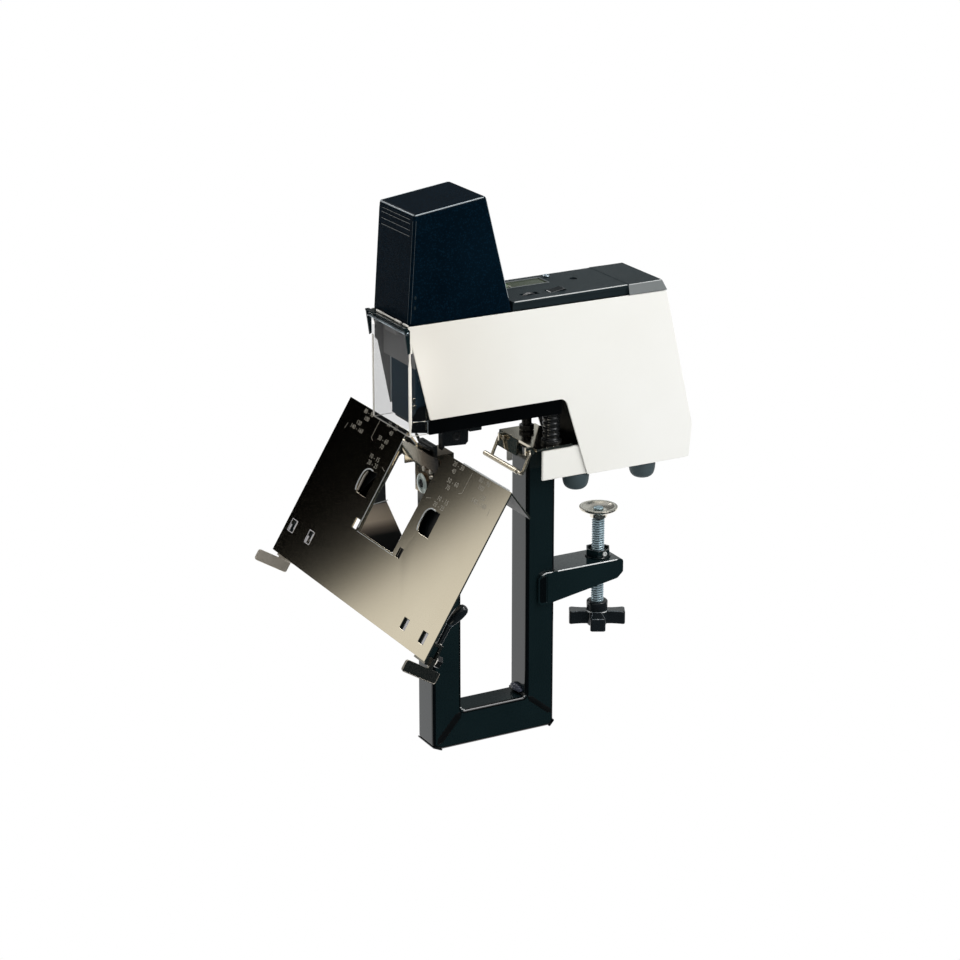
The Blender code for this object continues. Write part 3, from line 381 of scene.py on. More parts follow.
AX = {
    "x": Matrix(((0, 0, 1, 0), (1, 0, 0, 0), (0, 1, 0, 0), (0, 0, 0, 1))),
    "y": Matrix(((1, 0, 0, 0), (0, 0, -1, 0), (0, 1, 0, 0), (0, 0, 0, 1))),
    "z": Matrix.Identity(4),
}


def fillet(pts, radii, n=5):
    """Outline with rounded corners; radii is one number or one per corner."""
    out = []
    k = len(pts)
    if not isinstance(radii, (list, tuple)):
        radii = [radii] * k
    for i in range(k):
        p = Vector(pts[i]); a = Vector(pts[i - 1]); b = Vector(pts[(i + 1) % k])
        r = radii[i]
        if r <= 0:
            out.append(tuple(p))
            continue
        u = (a - p).normalized(); w = (b - p).normalized()
        ang = u.angle(w)
        if ang > math.radians(176):
            out.append(tuple(p))
            continue
        d = min(r / math.tan(ang / 2), (a - p).length * 0.48, (b - p).length * 0.48)
        r2 = d * math.tan(ang / 2)
        c = p + (u + w).normalized() * (r2 / math.sin(ang / 2))
        s = p + u * d - c
        e = p + w * d - c
        a0 = math.atan2(s.y, s.x); a1 = math.atan2(e.y, e.x)
        da = (a1 - a0 + math.pi) % (2 * math.pi) - math.pi
        for j in range(n + 1):
            t = a0 + da * j / n
            out.append((c.x + r2 * math.cos(t), c.y + r2 * math.sin(t)))
    return out


def prism_bm(loop, axis, lo, hi, holes=(), fr=None):
    """Outline in mm with holes, extruded along an axis (or a frame's third direction)."""
    cu = bpy.data.curves.new("outline", "CURVE")
    cu.dimensions = "2D"
    cu.fill_mode = "BOTH"
    cu.extrude = (hi - lo) / 2 * MM
    for lp in [loop, *holes]:
        sp = cu.splines.new("POLY")
        sp.points.add(len(lp) - 1)
        for q, (a, b) in zip(sp.points, lp):
            q.co = (a * MM, b * MM, 0, 1)
        sp.use_cyclic_u = True
    g = bpy.data.objects.new("outline", cu)
    scene.collection.objects.link(g)
    mid = (lo + hi) / 2 * MM
    if fr is None:
        mw = Matrix.Translation({"x": (mid, 0, 0), "y": (0, mid, 0), "z": (0, 0, mid)}[axis]) @ AX[axis]
    else:
        mw = fr @ Matrix.Translation((0, 0, mid))
    dg = bpy.context.evaluated_depsgraph_get()
    me = bpy.data.meshes.new_from_object(g.evaluated_get(dg))
    bm = bmesh.new()
    bm.from_mesh(me)
    bmesh.ops.remove_doubles(bm, verts=bm.verts, dist=1e-6)
    bmesh.ops.dissolve_limit(bm, angle_limit=math.radians(0.3), verts=bm.verts, edges=bm.edges)
    bm.transform(mw)
    bpy.data.objects.remove(g, do_unlink=True)
    bpy.data.curves.remove(cu)
    bpy.data.meshes.remove(me)
    return bm


def prism_ob(name, loop, axis, lo, hi, mat, holes=(), fr=None):
    return obj_from(name, prism_bm(loop, axis, lo, hi, holes, fr), mat)


def lathe_bm(profile, centre, axis="z", n=64, mw=None):
    """Closed or axis-touching profile of (r, h) in mm turned round an axis through centre."""
    bm = bmesh.new()
    rings = []
    closed = profile[0] == profile[-1]
    prof = profile[:-1] if closed else profile
    for r, h in prof:
        if r < 1e-6:
            rings.append([bm.verts.new((0, 0, h * MM))])
        else:
            rings.append([bm.verts.new((r * MM * math.cos(2 * math.pi * k / n), r * MM * math.sin(2 * math.pi * k / n), h * MM)) for k in range(n)])
    pairs = list(zip(rings, rings[1:]))
    if closed:
        pairs.append((rings[-1], rings[0]))
    for a, b in pairs:
        for k in range(n):
            j = (k + 1) % n
            if len(a) == 1 and len(b) == 1:
                continue
            if len(a) == 1:
                bm.faces.new((a[0], b[k], b[j]))
            elif len(b) == 1:
                bm.faces.new((a[k], b[0], a[j]))
            else:
                bm.faces.new((a[k], b[k], b[j], a[j]))
    if mw is None:
        c = Vector([q * MM for q in centre])
        if axis == "z":
            mw = Matrix.Translation(c)
        elif axis == "x":
            mw = Matrix.Translation(c) @ AX["x"]
        else:
            mw = Matrix.Translation(c) @ Matrix.Rotation(math.radians(-90), 4, "X")
    bm.transform(mw)
    return bm


def lathe(name, profile, centre, mat, axis="z", n=64, mw=None, sharp=38, bev=0.0, segs=2):
    ob = obj_from(name, lathe_bm(profile, centre, axis, n, mw), mat)
    rounded(ob, bev, segs, 40, sharp=sharp)
    return ob


def smooth_path(pts, step=1.2):
    """Centripetal curve through points, in mm."""
    P = [Vector(q) for q in pts]
    P = [P[0] * 2 - P[1]] + P + [P[-1] * 2 - P[-2]]
    out = []
    for i in range(1, len(P) - 2):
        p0, p1, p2, p3 = P[i - 1:i + 3]
        k = max(2, int((p2 - p1).length / step))
        for j in range(k):
            t = j / k
            out.append(0.5 * ((2 * p1) + (p2 - p0) * t + (2 * p0 - 5 * p1 + 4 * p2 - p3) * t * t + (3 * p1 - p0 - 3 * p2 + p3) * t ** 3))
    out.append(P[-2])
    return out


def bend_path(pts, r, n=6):
    """Polyline in mm with rounded corners of radius r."""
    P = [Vector(q) for q in pts]
    out = [P[0]]
    for i in range(1, len(P) - 1):
        a, p, b = P[i - 1], P[i], P[i + 1]
        u = (a - p).normalized(); w = (b - p).normalized()
        ang = u.angle(w)
        d = min(r / math.tan(ang / 2), (a - p).length * 0.48, (b - p).length * 0.48)
        s, e = p + u * d, p + w * d
        for j in range(n + 1):
            t = j / n
            out.append((1 - t) ** 2 * s + 2 * t * (1 - t) * p + t * t * e)
    out.append(P[-1])
    return out


def tube_bm(path, r, n=16, ends="round", bm=None):
    """Round bar along a path of points in mm, ends domed; r may be a number or one per point."""
    bm = bm or bmesh.new()
    P = [Vector(q) for q in path]
    R = r if isinstance(r, (list, tuple)) else [r] * len(P)
    T = []
    for i in range(len(P)):
        a = P[max(0, i - 1)]; b = P[min(len(P) - 1, i + 1)]
        T.append((b - a).normalized())
    up = Vector((0, 0, 1)) if abs(T[0].z) < 0.9 else Vector((0, 1, 0))
    x = T[0].cross(up).normalized()
    rings = []
    for i, (p, t) in enumerate(zip(P, T)):
        x = (x - t * x.dot(t)).normalized()
        y = t.cross(x)
        rings.append((p, x.copy(), y.copy(), t, R[i]))
    secs = []
    if ends == "round":
        p, xx, yy, t, rr = rings[0]
        for a in (80, 60, 35, 15):
            secs.append((p - t * rr * 0.6 * math.sin(math.radians(a)), xx, yy, rr * math.cos(math.radians(a))))
    for p, xx, yy, t, rr in rings:
        secs.append((p, xx, yy, rr))
    if ends == "round":
        p, xx, yy, t, rr = rings[-1]
        for a in (15, 35, 60, 80):
            secs.append((p + t * rr * 0.6 * math.sin(math.radians(a)), xx, yy, rr * math.cos(math.radians(a))))
    vr = []
    for p, xx, yy, rr in secs:
        vr.append([bm.verts.new((p + (xx * math.cos(2 * math.pi * k / n) + yy * math.sin(2 * math.pi * k / n)) * rr) * MM) for k in range(n)])
    for a, b in zip(vr, vr[1:]):
        for k in range(n):
            j = (k + 1) % n
            bm.faces.new((a[k], a[j], b[j], b[k]))
    bm.faces.new(list(reversed(vr[0])))
    bm.faces.new(vr[-1])
    return bm


def tube(name, path, r, mat, n=16, ends="round"):
    ob = obj_from(name, tube_bm(path, r, n, ends), mat)
    rounded(ob, 0, sharp=50)
    return ob


def screw_bm(centre, rmaj, rmin, z0, z1, pitch, n=36, sub=6):
    """A real helical thread on a solid core."""
    bm = bmesh.new()
    rows = int((z1 - z0) / pitch * sub)
    prev = None
    first = None
    for i in range(rows + 1):
        zc = z0 + (z1 - z0) * i / rows
        ring = []
        for k in range(n):
            th = 2 * math.pi * k / n
            ph = ((zc - z0) / pitch - k / n) % 1.0
            tri = 1 - abs(2 * ph - 1)
            f = min(1.0, max(0.0, (tri - 0.14) / 0.62))
            fade = min(1.0, (zc - z0) / pitch, (z1 - zc) / pitch)
            rr = rmin + (rmaj - rmin) * f * max(0.0, fade)
            ring.append(bm.verts.new(((centre[0] + rr * math.cos(th)) * MM, (centre[1] + rr * math.sin(th)) * MM, zc * MM)))
        if prev:
            for k in range(n):
                j = (k + 1) % n
                bm.faces.new((prev[k], prev[j], ring[j], ring[k]))
        else:
            first = ring
        prev = ring
    bm.faces.new(list(reversed(first)))
    bm.faces.new(prev)
    return bm


# ================================================================ shared dimensions (mm)
RIDGE = (-124.2, 59.4)
SF, CF = math.sin(math.radians(58.6)), math.cos(math.radians(58.6))
PLATE = Matrix(((1, 0, 0, 0), (0, CF, -SF, RIDGE[0] * MM), (0, SF, CF, RIDGE[1] * MM), (0, 0, 0, 1)))


def T(x, s, n=0.0):
    return (x, RIDGE[0] - s * CF - n * SF, RIDGE[1] - s * SF + n * CF)


# ================================================================ frame
POST_F, POST_R, BOT, SILL = (-127.5, -97.5), (-30.0, 0.0), -235.7, -200.8
loop = [(POST_F[0], 26.0), (POST_F[0], BOT + 4.0), (POST_F[0] + 9.0, BOT), (-4.0, BOT), (0, BOT + 4.6), (0, 44.9), (POST_R[0], 44.9),
        (POST_R[0], SILL), (POST_F[1], SILL), (POST_F[1], 26.0)]
bm = prism_bm(loop, "x", -15, 15)
# the tube's rounded edges take the darker enamel: painted shade along its corners
ob = obj_from("frame_tube", bm, ["black_paint", "edge_black"])
rounded(ob, 3.0, 7, 30, wn=True, edge_mat=1)
part(ob, "u_frame")


def ridge(bm, a, b, half, height, sx, n=34, m=8, wob=0.10):
    """A low dressed bead on a flank (x = sx): from a to b, both (y, z) in mm."""
    a = Vector((0, *a)); b = Vector((0, *b))
    t = (b - a).normalized()
    u = Vector((0, -t.z, t.y))
    rows = []
    for i in range(n + 1):
        f = i / n
        w_ = half * min(1.0, 0.35 + 6 * f, 0.35 + 6 * (1 - f)) * (1 + wob * math.sin(i * 1.7))
        c_ = a.lerp(b, f)
        row = []
        for j in range(m + 1):
            q = -1 + 2 * j / m
            h = height * (1 - q * q) * (1 + wob * math.sin(i * 2.9 + j)) - 0.12
            v_ = c_ + u * (q * w_)
            row.append(bm.verts.new((sx * (15.0 + h) * MM, v_.y * MM, v_.z * MM)))
        rows.append(row)
    for i in range(n):
        for j in range(m):
            q = (rows[i][j], rows[i + 1][j], rows[i + 1][j + 1], rows[i][j + 1])
            bm.faces.new(q if sx > 0 else tuple(reversed(q)))


# dressed mitre welds on both flanks
bm = bmesh.new()
for sx in (-1, 1):
    ridge(bm, (-98.6, -202.2), (-122.4, -229.0), 4.0, 0.60, sx)
    ridge(bm, (-27.6, -201.2), (-3.0, -221.4), 2.9, 0.55, sx)
me = bpy.data.meshes.new("mitre_welds")
bm.to_mesh(me)
bm.free()
ob = obj_from("mitre_welds", me, "weld_black_and_shade")
md = ob.modifiers.new("thickness", "SOLIDIFY")
md.thickness = 0.1 * MM
apply_mods(ob)
rounded(ob, 0, sharp=80)
extra(ob, "base")

# beads in the inner corners: a run across the tube with a fat middle, and a dot at each end
def blob(bm, c_, r, sc=(1, 1, 1), n=18):
    m4 = Matrix.Translation(Vector(c_) * MM) @ Matrix.Diagonal((*sc, 1))
    bmesh.ops.create_uvsphere(bm, u_segments=n, v_segments=max(6, n // 2), radius=r * MM, matrix=m4)


bm = bmesh.new()
for yy, sgn in ((-97.2, 1), (-30.3, -1)):
    for i in range(11):
        blob(bm, (-12.8 + 2.4 * i, yy, SILL + 0.4), 1.25, (1.25, 0.9 + 0.2 * math.sin(i * 2.1), 0.9), 14)
    for xx in (-14.0, 14.0):
        blob(bm, (xx, yy, SILL + 0.1), 1.55, (0.9, 1, 0.9), 16)
ob = obj_from("corner_weld_beads", bm, "black_paint")
rounded(ob, 0, sharp=70)
extra(ob, "base")
bm = bmesh.new()
for i, (xx, r) in enumerate(((-7.5, 2.6), (-4.8, 3.5), (-1.6, 4.1), (1.8, 3.9), (4.8, 3.1), (7.2, 2.2))):
    blob(bm, (xx, -31.4, SILL + 4.4), r * 1.05, (0.9, 0.92, 0.86 + 0.08 * math.sin(i * 2.0)), 20)
ob = obj_from("corner_weld_pool", bm, "weld_grey")
# pale dots on the corner welds: painted glints
b2 = bmesh.new()
for yy, zz in ((-97.0, -199.6), (-95.2, -200.6), (-31.2, -200.3), (-98.3, -197.6)):
    blob(b2, (14.3, yy, zz), 0.85, (0.8, 1.1, 0.8), 14)
spk = obj_from("corner_weld_sparkle", b2, "pale_line")
rounded(spk, 0, sharp=70)
extra(spk, "base")
rounded(ob, 0, sharp=70)
extra(ob, "base")

# moulded plugs closing the lower ends of the posts: only their lips show
bm = prism_bm([(-127.8, -231.2), (-127.2, -231.0), (-118.2, -234.9), (-117.6, -235.7), (-118.6, -236.2), (-119.6, -235.9), (-127.6, -232.3)], "x", -15.2, 15.2)
b2 = prism_bm([(0.3, -229.8), (0.5, -231.2), (-3.3, -235.6), (-4.6, -236.1), (-4.4, -235.3), (-0.4, -230.9), (-0.2, -229.8)], "x", -15.2, 15.2)
me = bpy.data.meshes.new("t"); b2.to_mesh(me); b2.free(); bm.from_mesh(me); bpy.data.meshes.remove(me)
ob = obj_from("post_plugs", bm, "black_plastic")
rounded(ob, 0.3, 2, 40)
extra(ob, "base")

# clamp arm: folded channel lapped round the post
arm = [(-18.8, -84.6), (-16.0, -81.6), (-10.0, -80.0), (72.0, -80.0), (72.0, -93.0), (66.0, -98.6), (6.0, -108.6), (-9.0, -111.0), (-16.0, -111.0), (-18.8, -108.0)]
arm = fillet(arm, [3.0, 2.0, 3.0, 3.2, 2.4, 3.0, 8.0, 3.0, 3.0, 3.0], 4)
ob = prism_ob("clamp_arm", arm, "x", -17.9, 17.9, "black_paint")
cutby(ob, box_ob("c1", (-15.25, -25.0, -120.0), (15.25, 0.35, -70.0)),
      box_ob("c2", (-15.2, 3.0, -120.0), (15.2, 69.3, -82.6)),
      obj_from("c3", lathe_bm([(0, -95), (9.2, -95), (9.2, -70), (0, -70)], (0, 54.8, 0), n=48), "black_paint"),
      box_ob("c4", (17.3, -10.2, -108.9), (19.0, -8.9, -83.4)), box_ob("c5", (-19.0, -10.2, -108.9), (-17.3, -8.9, -83.4)))
rounded(ob, 1.3, 4, 38)
part(ob, "clamp_bracket")
# pale lines along the arm's top edge and its ear: painted highlights
bm = tube_bm([(17.50, 1.6 + 6.84 * k, -80.36) for k in range(11)], [0.60 if k < 10 else 0.2 for k in range(11)], 8)
tube_bm([(17.45, -15.2, -82.00), (17.50, -12.6, -81.00), (17.50, -10.0, -80.38), (17.50, -4.0, -80.36)], 0.5, 8, "round", bm)
ob = obj_from("arm_edge_lines", bm, "arm_highlight_line")
rounded(ob, 0, sharp=60)
extra(ob, "base")

# hexagon of the collar nut, cupped at its top, with a grub screw in one flat
nut_hex = [(12.4 * math.cos(math.radians(30.2 + 60 * k)), 54.8 + 12.4 * math.sin(math.radians(30.2 + 60 * k))) for k in range(6)]
hx = prism_ob("clamp_nut_hex", nut_hex, "z", -78.75, -71.9, "black_paint")
cutby(hx, obj_from("c1", lathe_bm([(0, -82), (6.6, -82), (6.6, -75.9), (9.6, -75.9), (9.6, -70), (0, -70)], (0, 54.8, 0), n=48), "black_paint"))
rounded(hx, 0.5, 3, 30, sharp=45)
extra(hx, "base")
# the grub screw is a real part coloured pale as a painted glint
ob = lathe("nut_grub_screw", [(0, 11.15), (1.2, 11.15), (1.3, 11.65), (2.0, 11.65), (2.3, 11.35), (2.3, 10.2), (0, 10.2)], (0, 55.8, -75.4), "pale_line", axis="x", n=32)
extra(ob, "base")
# lap weld on the arm's ears, darkened as painted shade in the pocket
for sx in (-1, 1):
    a_, b_ = (17.6, 18.02) if sx > 0 else (-18.02, -17.6)
    ob = prism_ob("lap_weld_" + ("right" if sx > 0 else "left"), fillet([(-17.4, -86.0), (-15.2, -83.6), (-10.5, -82.4), (-10.5, -108.8), (-15.6, -108.8), (-17.4, -106.8)], 1.4, 4), "x", a_, b_, "edge_black")
    rounded(ob, 0.15, 2, 40)
    extra(ob, "base")

# welded collar nut on the arm
prof = [(12.0, -79.7), (12.0, -79.0), (11.7, -78.7), (6.7, -78.7), (6.4, -79.0), (6.4, -93.0),
        (8.8, -93.0), (8.8, -79.7), (12.0, -79.7)]
ob = lathe("clamp_nut_body", prof, (0, 54.8, 0), "black_paint", n=56)
part(ob, "clamp_nut")

# spindle with a real thread, its turned-down head held in the pad
bm = screw_bm((0, 54.8), 6.0, 4.75, -141.6, -41.6, 2.35)
lathe_top = lathe_bm([(0, -41.8), (2.8, -41.8), (2.8, -33.1), (4.8, -33.0), (4.6, -32.2), (3.6, -31.75), (0, -31.7)], (0, 54.8, 0), n=36)
me = bpy.data.meshes.new("t"); lathe_top.to_mesh(me); lathe_top.free(); bm.from_mesh(me); bpy.data.meshes.remove(me)
ob = obj_from("spindle_thread", bm, ["thread_zinc", "thread_root_shade"])
# faces at the thread's root take the near-black: painted shade in the grooves
for q in ob.data.polygons:
    rr = math.hypot(q.center.x, q.center.y - 0.0548)
    if rr < 0.00505 and q.center.z < -0.0418:
        q.material_index = 1
rounded(ob, 0, sharp=60, wn=False)
part(ob, "clamp_screw")

prof = [(3.15, -41.0), (3.15, -33.6), (5.0, -33.5), (9.8, -33.3), (12.6, -32.2), (14.4, -31.2), (15.1, -31.0), (17.6, -31.0), (18.0, -31.3),
        (18.0, -32.6), (17.7, -33.2), (15.4, -34.6), (12.0, -35.9), (9.0, -37.2), (8.3, -38.2), (8.0, -41.0), (3.15, -41.0)]
ob = lathe("pad_dish", prof, (0, 54.8, 0), "pad_nickel", n=80, sharp=60)
part(ob, "clamp_pad")

# four-lobed knob: each lobe is waisted and its end is broad and flat
bm = bmesh.new()
prof = [(0, -149.0), (7.6, -149.0), (9.2, -148.4), (10.0, -146.8), (10.2, -138.0), (9.9, -132.0), (10.1, -127.6), (10.0, -125.4), (9.3, -124.6), (6.5, -124.6),
        (6.45, -143.0), (0, -143.0)]
bm = lathe_bm(prof, (0, 54.8, 0), n=56)
cross = []
for k in range(4):
    a = math.pi / 2 * k + math.radians(61.6)
    for x, y in ((8.6, -5.4), (14.0, -5.3), (20.0, -6.2), (24.7, -7.4), (26.4, -6.0), (26.4, 6.0), (24.7, 7.4), (20.0, 6.2), (14.0, 5.3), (8.6, 5.4)):
        cross.append((x * math.cos(a) - y * math.sin(a), 54.8 + x * math.sin(a) + y * math.cos(a)))
lobes = prism_ob("lobes", cross, "z", -146.8, -134.0, "gloss_knob")
md = lobes.modifiers.new("b", "BEVEL"); md.width = 2.0 * MM; md.segments = 6; md.limit_method = "ANGLE"; md.angle_limit = math.radians(24)
apply_mods(lobes)
bm.from_mesh(lobes.data)
me = lobes.data
bpy.data.objects.remove(lobes, do_unlink=True)
bpy.data.meshes.remove(me)
core = obj_from("knob_body", bm, "gloss_knob")
rounded(core, 0, sharp=55)
# thin lines round the lobes' top edges and the hub: painted highlights, with brighter painted glints on two hub arcs
# and the front lobe
b2 = bmesh.new()
for k in range(4):
    a = math.pi / 2 * k + math.radians(61.6)
    loop = [(10.6, -4.7, -134.45), (14.0, -4.65, -134.50), (19.6, -5.5, -134.50), (23.8, -6.6, -134.55), (25.7, -5.3, -134.6), (25.75, 0.0, -134.6), (25.7, 5.3, -134.6), (23.8, 6.6, -134.55),
            (19.6, 5.5, -134.50), (14.0, 4.65, -134.50), (10.6, 4.7, -134.45)]
    tube_bm([(x * math.cos(a) - y * math.sin(a), 54.8 + x * math.sin(a) + y * math.cos(a), z + 0.12) for x, y, z in loop], 0.42, 8, "round", b2)
ring = [(10.15 * math.cos(math.radians(6 * k)), 54.8 + 10.15 * math.sin(math.radians(6 * k)), -133.85) for k in range(61)]
tube_bm(ring, 0.38, 8, "round", b2)
b3 = bmesh.new()
for a0, a1 in ((-98, -56), (-10, 30)):
    arc = [math.radians(a0 + (a1 - a0) * k / 6) for k in range(7)]
    tube_bm([(10.7 * math.cos(t), 54.8 + 10.7 * math.sin(t), -133.95) for t in arc], [0.15, 0.4, 0.6, 0.65, 0.6, 0.4, 0.15], 8, "round", b3)
a = math.radians(-28.4)
tube_bm([(x * math.cos(a) - y * math.sin(a), 54.8 + x * math.sin(a) + y * math.cos(a), -134.5) for x, y in ((25.7, -2.6), (25.75, 0.0), (25.7, 2.6))], [0.2, 0.5, 0.2], 8, "round", b3)
ob = obj_from("knob_glints", b3, "pale_line")
rounded(ob, 0, sharp=60)
extra(ob, BODY["clamp_knob"])
ob = obj_from("knob_edge_lines", b2, "knob_line")
rounded(ob, 0, sharp=60)
extra(ob, BODY["clamp_knob"])
part(core, "clamp_knob")

# ================================================================ feet
for lab, fx, fy in (("foot_front_left", -21.5, 17.0), ("foot_front_right", 21.5, 17.0), ("foot_rear_left", -21.5, 88.0), ("foot_rear_right", 21.5, 88.0)):
    prof = [(0, 15.9), (11.8, 15.9), (12.3, 15.5), (12.4, 12.0), (12.1, 8.4), (11.5, 5.4), (10.6, 3.2), (9.4, 1.7), (7.9, 0.6), (6.4, 0.0), (4.6, 0.0), (4.2, 0.7), (0, 0.7)]
    part(lathe(lab + "_dome", prof, (fx, fy, 0), "rubber", n=56, sharp=60), lab)

# ================================================================ base tray, bracket, bail
ob = box_ob("tray_shell", (-34.0, -25.0, 16.3), (34.0, 126.0, 45.0), "white_paint")
md = ob.modifiers.new("b", "BEVEL"); md.width = 1.6 * MM; md.segments = 4; md.limit_method = "ANGLE"
apply_mods(ob)
cutby(ob, box_ob("c1", (-32.4, -40.0, 17.9), (32.4, 124.4, 60.0)),
      box_ob("c2", (-32.1, -40.0, 0.0), (32.1, 0.5, 60.0)),
      box_ob("c3", (-40.0, -19.0, 27.0), (-30.0, -14.0, 37.0)),
      box_ob("c4", (-15.4, 110.0, 18.6), (15.4, 140.0, 60.0)),
      obj_from("c5", lathe_bm([(0, 110), (6.3, 110), (6.3, 140), (0, 140)], (24.0, 0, 31.4), axis="y", n=32), "white_paint"))
rounded(ob, 0.35, 2, 40, sharp=50)
part(ob, "base_tray")

skin("post_bracket", "nickel", 0.35, 2, 35)
prof = [(0, 53.2), (4.6, 53.2), (4.6, 60.0), (4.1, 60.5), (3.2, 60.5), (2.9, 60.2), (2.7, 56.6), (0, 56.4)]
ob = lathe("post_bolt_head", prof, (-21.0, -10.6, 0), "black_oxide", n=40)
extra(ob, "base")
hexp = [(7.0 * math.cos(math.radians(60 * k)) - 21.0, 7.0 * math.sin(math.radians(60 * k)) - 10.6) for k in range(6)]
ob2 = prism_ob("post_bolt_flange", hexp, "z", 47.9, 53.4, "black_oxide")
rounded(ob2, 0.7, 3, 30)
part(ob2, "post_bolt")

# ribbed conduit
prof = [(5.2, 76.6), (7.7, 76.6), (8.0, 76.2)]
z = 75.0
while z > 53.0:
    prof += [(8.0, z), (7.75, z - 0.5), (7.1, z - 1.0), (7.0, z - 1.7), (7.1, z - 2.4), (7.75, z - 2.9), (8.0, z - 3.4)]
    z -= 5.0
prof += [(8.0, 51.4), (8.6, 51.1), (9.3, 50.8), (9.4, 50.3), (9.4, 47.9), (5.2, 47.9), (5.2, 76.6)]
part(lathe("conduit_ribbed", prof, (21.5, -9.0, 0), "black_oxide", n=48, sharp=60), "cable_conduit")

# bail: one bent wire with a cross bar and ball ends
by, bz = -34.8, 43.2
bm = tube_bm([(-41.0, -43.0, 24.5), (-20, -43.0, 24.5), (0, -43.0, 24.5), (21.0, -43.0, 24.5)], 2.35, 20)
for xx in (-39.6, 20.2):
    m4 = Matrix.Translation(Vector((xx, -43.0, 24.5)) * MM)
    bmesh.ops.create_uvsphere(bm, u_segments=20, v_segments=12, radius=2.55 * MM if xx > 0 else 2.2 * MM, matrix=m4 @ Matrix.Diagonal((0.72, 1, 1, 1)))
p1 = bend_path([(-20.8, by, bz), (-29.0, by, bz), (-29.0, -42.9, 24.6)], 2.2)
p2 = bend_path([(20.8, by, bz), (29.0, by, bz), (29.0, -43.0, 24.5), (18.0, -43.0, 24.5)], 3.4)
tube_bm(p1, 1.6, 14, "round", bm)
tube_bm(p2, 1.6, 14, "round", bm)
ob = obj_from("bail_wire", bm, "bail_nickel")
rounded(ob, 0, sharp=60)
part(ob, "wire_bail")

# ================================================================ housing
PANEL = [(-160.7, 178.85), (101.4, 178.85), (132.4, 47.7), (129.5, 16.3), (21.1, 16.3), (-0.6, 84.8), (-10.5, 91.7), (-139.2, 91.7)]
PR = [1.2, 2.0, 3.0, 1.6, 1.6, 7.5, 7.5, 2.2]
pl = fillet(PANEL[:5] + [(-0.6, 84.8), (-6.0, 91.7), (-139.2, 91.7)], [1.2, 2.0, 3.0, 1.6, 1.6, 4.0, 4.0, 2.2], 6)
pl = fillet([(-160.7, 178.85), (101.4, 178.85), (132.4, 47.7), (129.5, 16.3), (21.1, 16.3), (-2.8, 91.7), (-139.2, 91.7)],
            [1.2, 2.0, 3.0, 1.6, 1.6, 7.6, 2.2], 8)
for lab, s in (("side_panel_left", -1), ("side_panel_right", 1)):
    lo, hi = sorted((s * 34.6, s * 36.2))
    ob = prism_ob(lab + "_sheet", pl, "x", lo, hi, ["white_paint", "weld_black_and_shade"])
    # the panels' inward faces take the near-black: painted shade inside the housing on white enamel
    for q in ob.data.polygons:
        if q.normal.x * s < -0.9:
            q.material_index = 1
    rounded(ob, 0.55, 4, 50)
    part(ob, lab)
skin("rear_panel", "white_paint", 0.4, 2, 30)
skin("notch_liner", "liner_black", 0.4, 2, 30)
skin("arm_channel", "liner_black", 0.5, 2, 30)
skin("mains_inlet", "black_plastic", 0.4, 2, 30)
skin("fuse_holder", "black_plastic", 0.4, 2, 30)


# tower: one moulding with generous edges, four cooling-style grooves round the front
def tower_line(zz):
    return -158.8 + (zz - 180.5) * (6.5 / 95.2), -58.3 - (zz - 187.0) * (24.1 / 98.4)


f1, b1 = tower_line(150.0)
bm = bmesh.new()
tv = [bm.verts.new((x * MM, y * MM, z * MM)) for x in (-34, 34) for y, z in ((f1, 150.0), (b1, 150.0), (-82.4, 285.4), (-152.3, 275.9))]
for q in ((0, 1, 2, 3), (7, 6, 5, 4), (0, 4, 5, 1), (1, 5, 6, 2), (2, 6, 7, 3), (3, 7, 4, 0)):
    bm.faces.new([tv[i] for i in q])
tower = obj_from("tower_shell", bm, "tower_plastic")
md = tower.modifiers.new("b", "BEVEL"); md.width = 2.8 * MM; md.segments = 7; md.limit_method = "ANGLE"; md.angle_limit = math.radians(30)
apply_mods(tower)
inner = prism_ob("c0", [(f1 + 2.7, 140.0), (b1 - 2.7, 140.0), (-84.9, 282.0), (-149.4, 273.2)], "x", -31.2, 31.2, "tower_plastic")
cutby(tower, inner, box_ob("c1", (-50.0, -190.0, 120.0), (50.0, -20.0, 179.4)))
GROOVES = (271.2, 267.5, 262.0, 256.8)
gro = []
for k, zz in enumerate(GROOVES):
    f, b = tower_line(zz)
    gro.append(box_ob("g%d" % k, (-27.0, f - 4.0, zz - 0.30), (27.5, f + 0.55, zz + 0.30), "tower_plastic"))
cutby(tower, *gro)
rounded(tower, 0.0, sharp=28)
part(tower, "tower_cover")
# thin lower lips of the four grooves, made pale as a painted highlight
bm = bmesh.new()
for k, zz in enumerate(GROOVES):
    f, b = tower_line(zz)
    xs = [-26.6 + 53.6 * i / 18 for i in range(19)]
    tube_bm([(x, f + 0.10, zz - 0.42) for x in xs], [0.24 + 0.07 * math.sin(i * 2.4 + k) for i in range(19)], 8, "round", bm)
ob = obj_from("groove_lips", bm, "charcoal_edge")
rounded(ob, 0, sharp=60)
extra(ob, "base")
# painted highlights along the moulding edges
bm = bmesh.new()
tube_bm([(-31.5 + 6.3 * k, -151.50, 275.18) for k in range(11)], 0.60, 8, "round", bm)
for sx in (-1, 1):
    tube_bm([(sx * 33.20, y, 275.9 + (y + 152.3) * 0.13591 - 0.80) for y in (-150.6, -138.0, -126.0, -114.0, -100.0, -85.0)], 0.60, 8, "round", bm)
    tube_bm([(sx * 33.20, tower_line(z)[1] - 0.80, z) for z in (282.8, 262.0, 244.0, 226.0, 208.0, 192.0)], 0.30, 8, "round", bm)
ob = obj_from("tower_edge_lines", bm, "edge_line")
rounded(ob, 0, sharp=60)
extra(ob, "base")
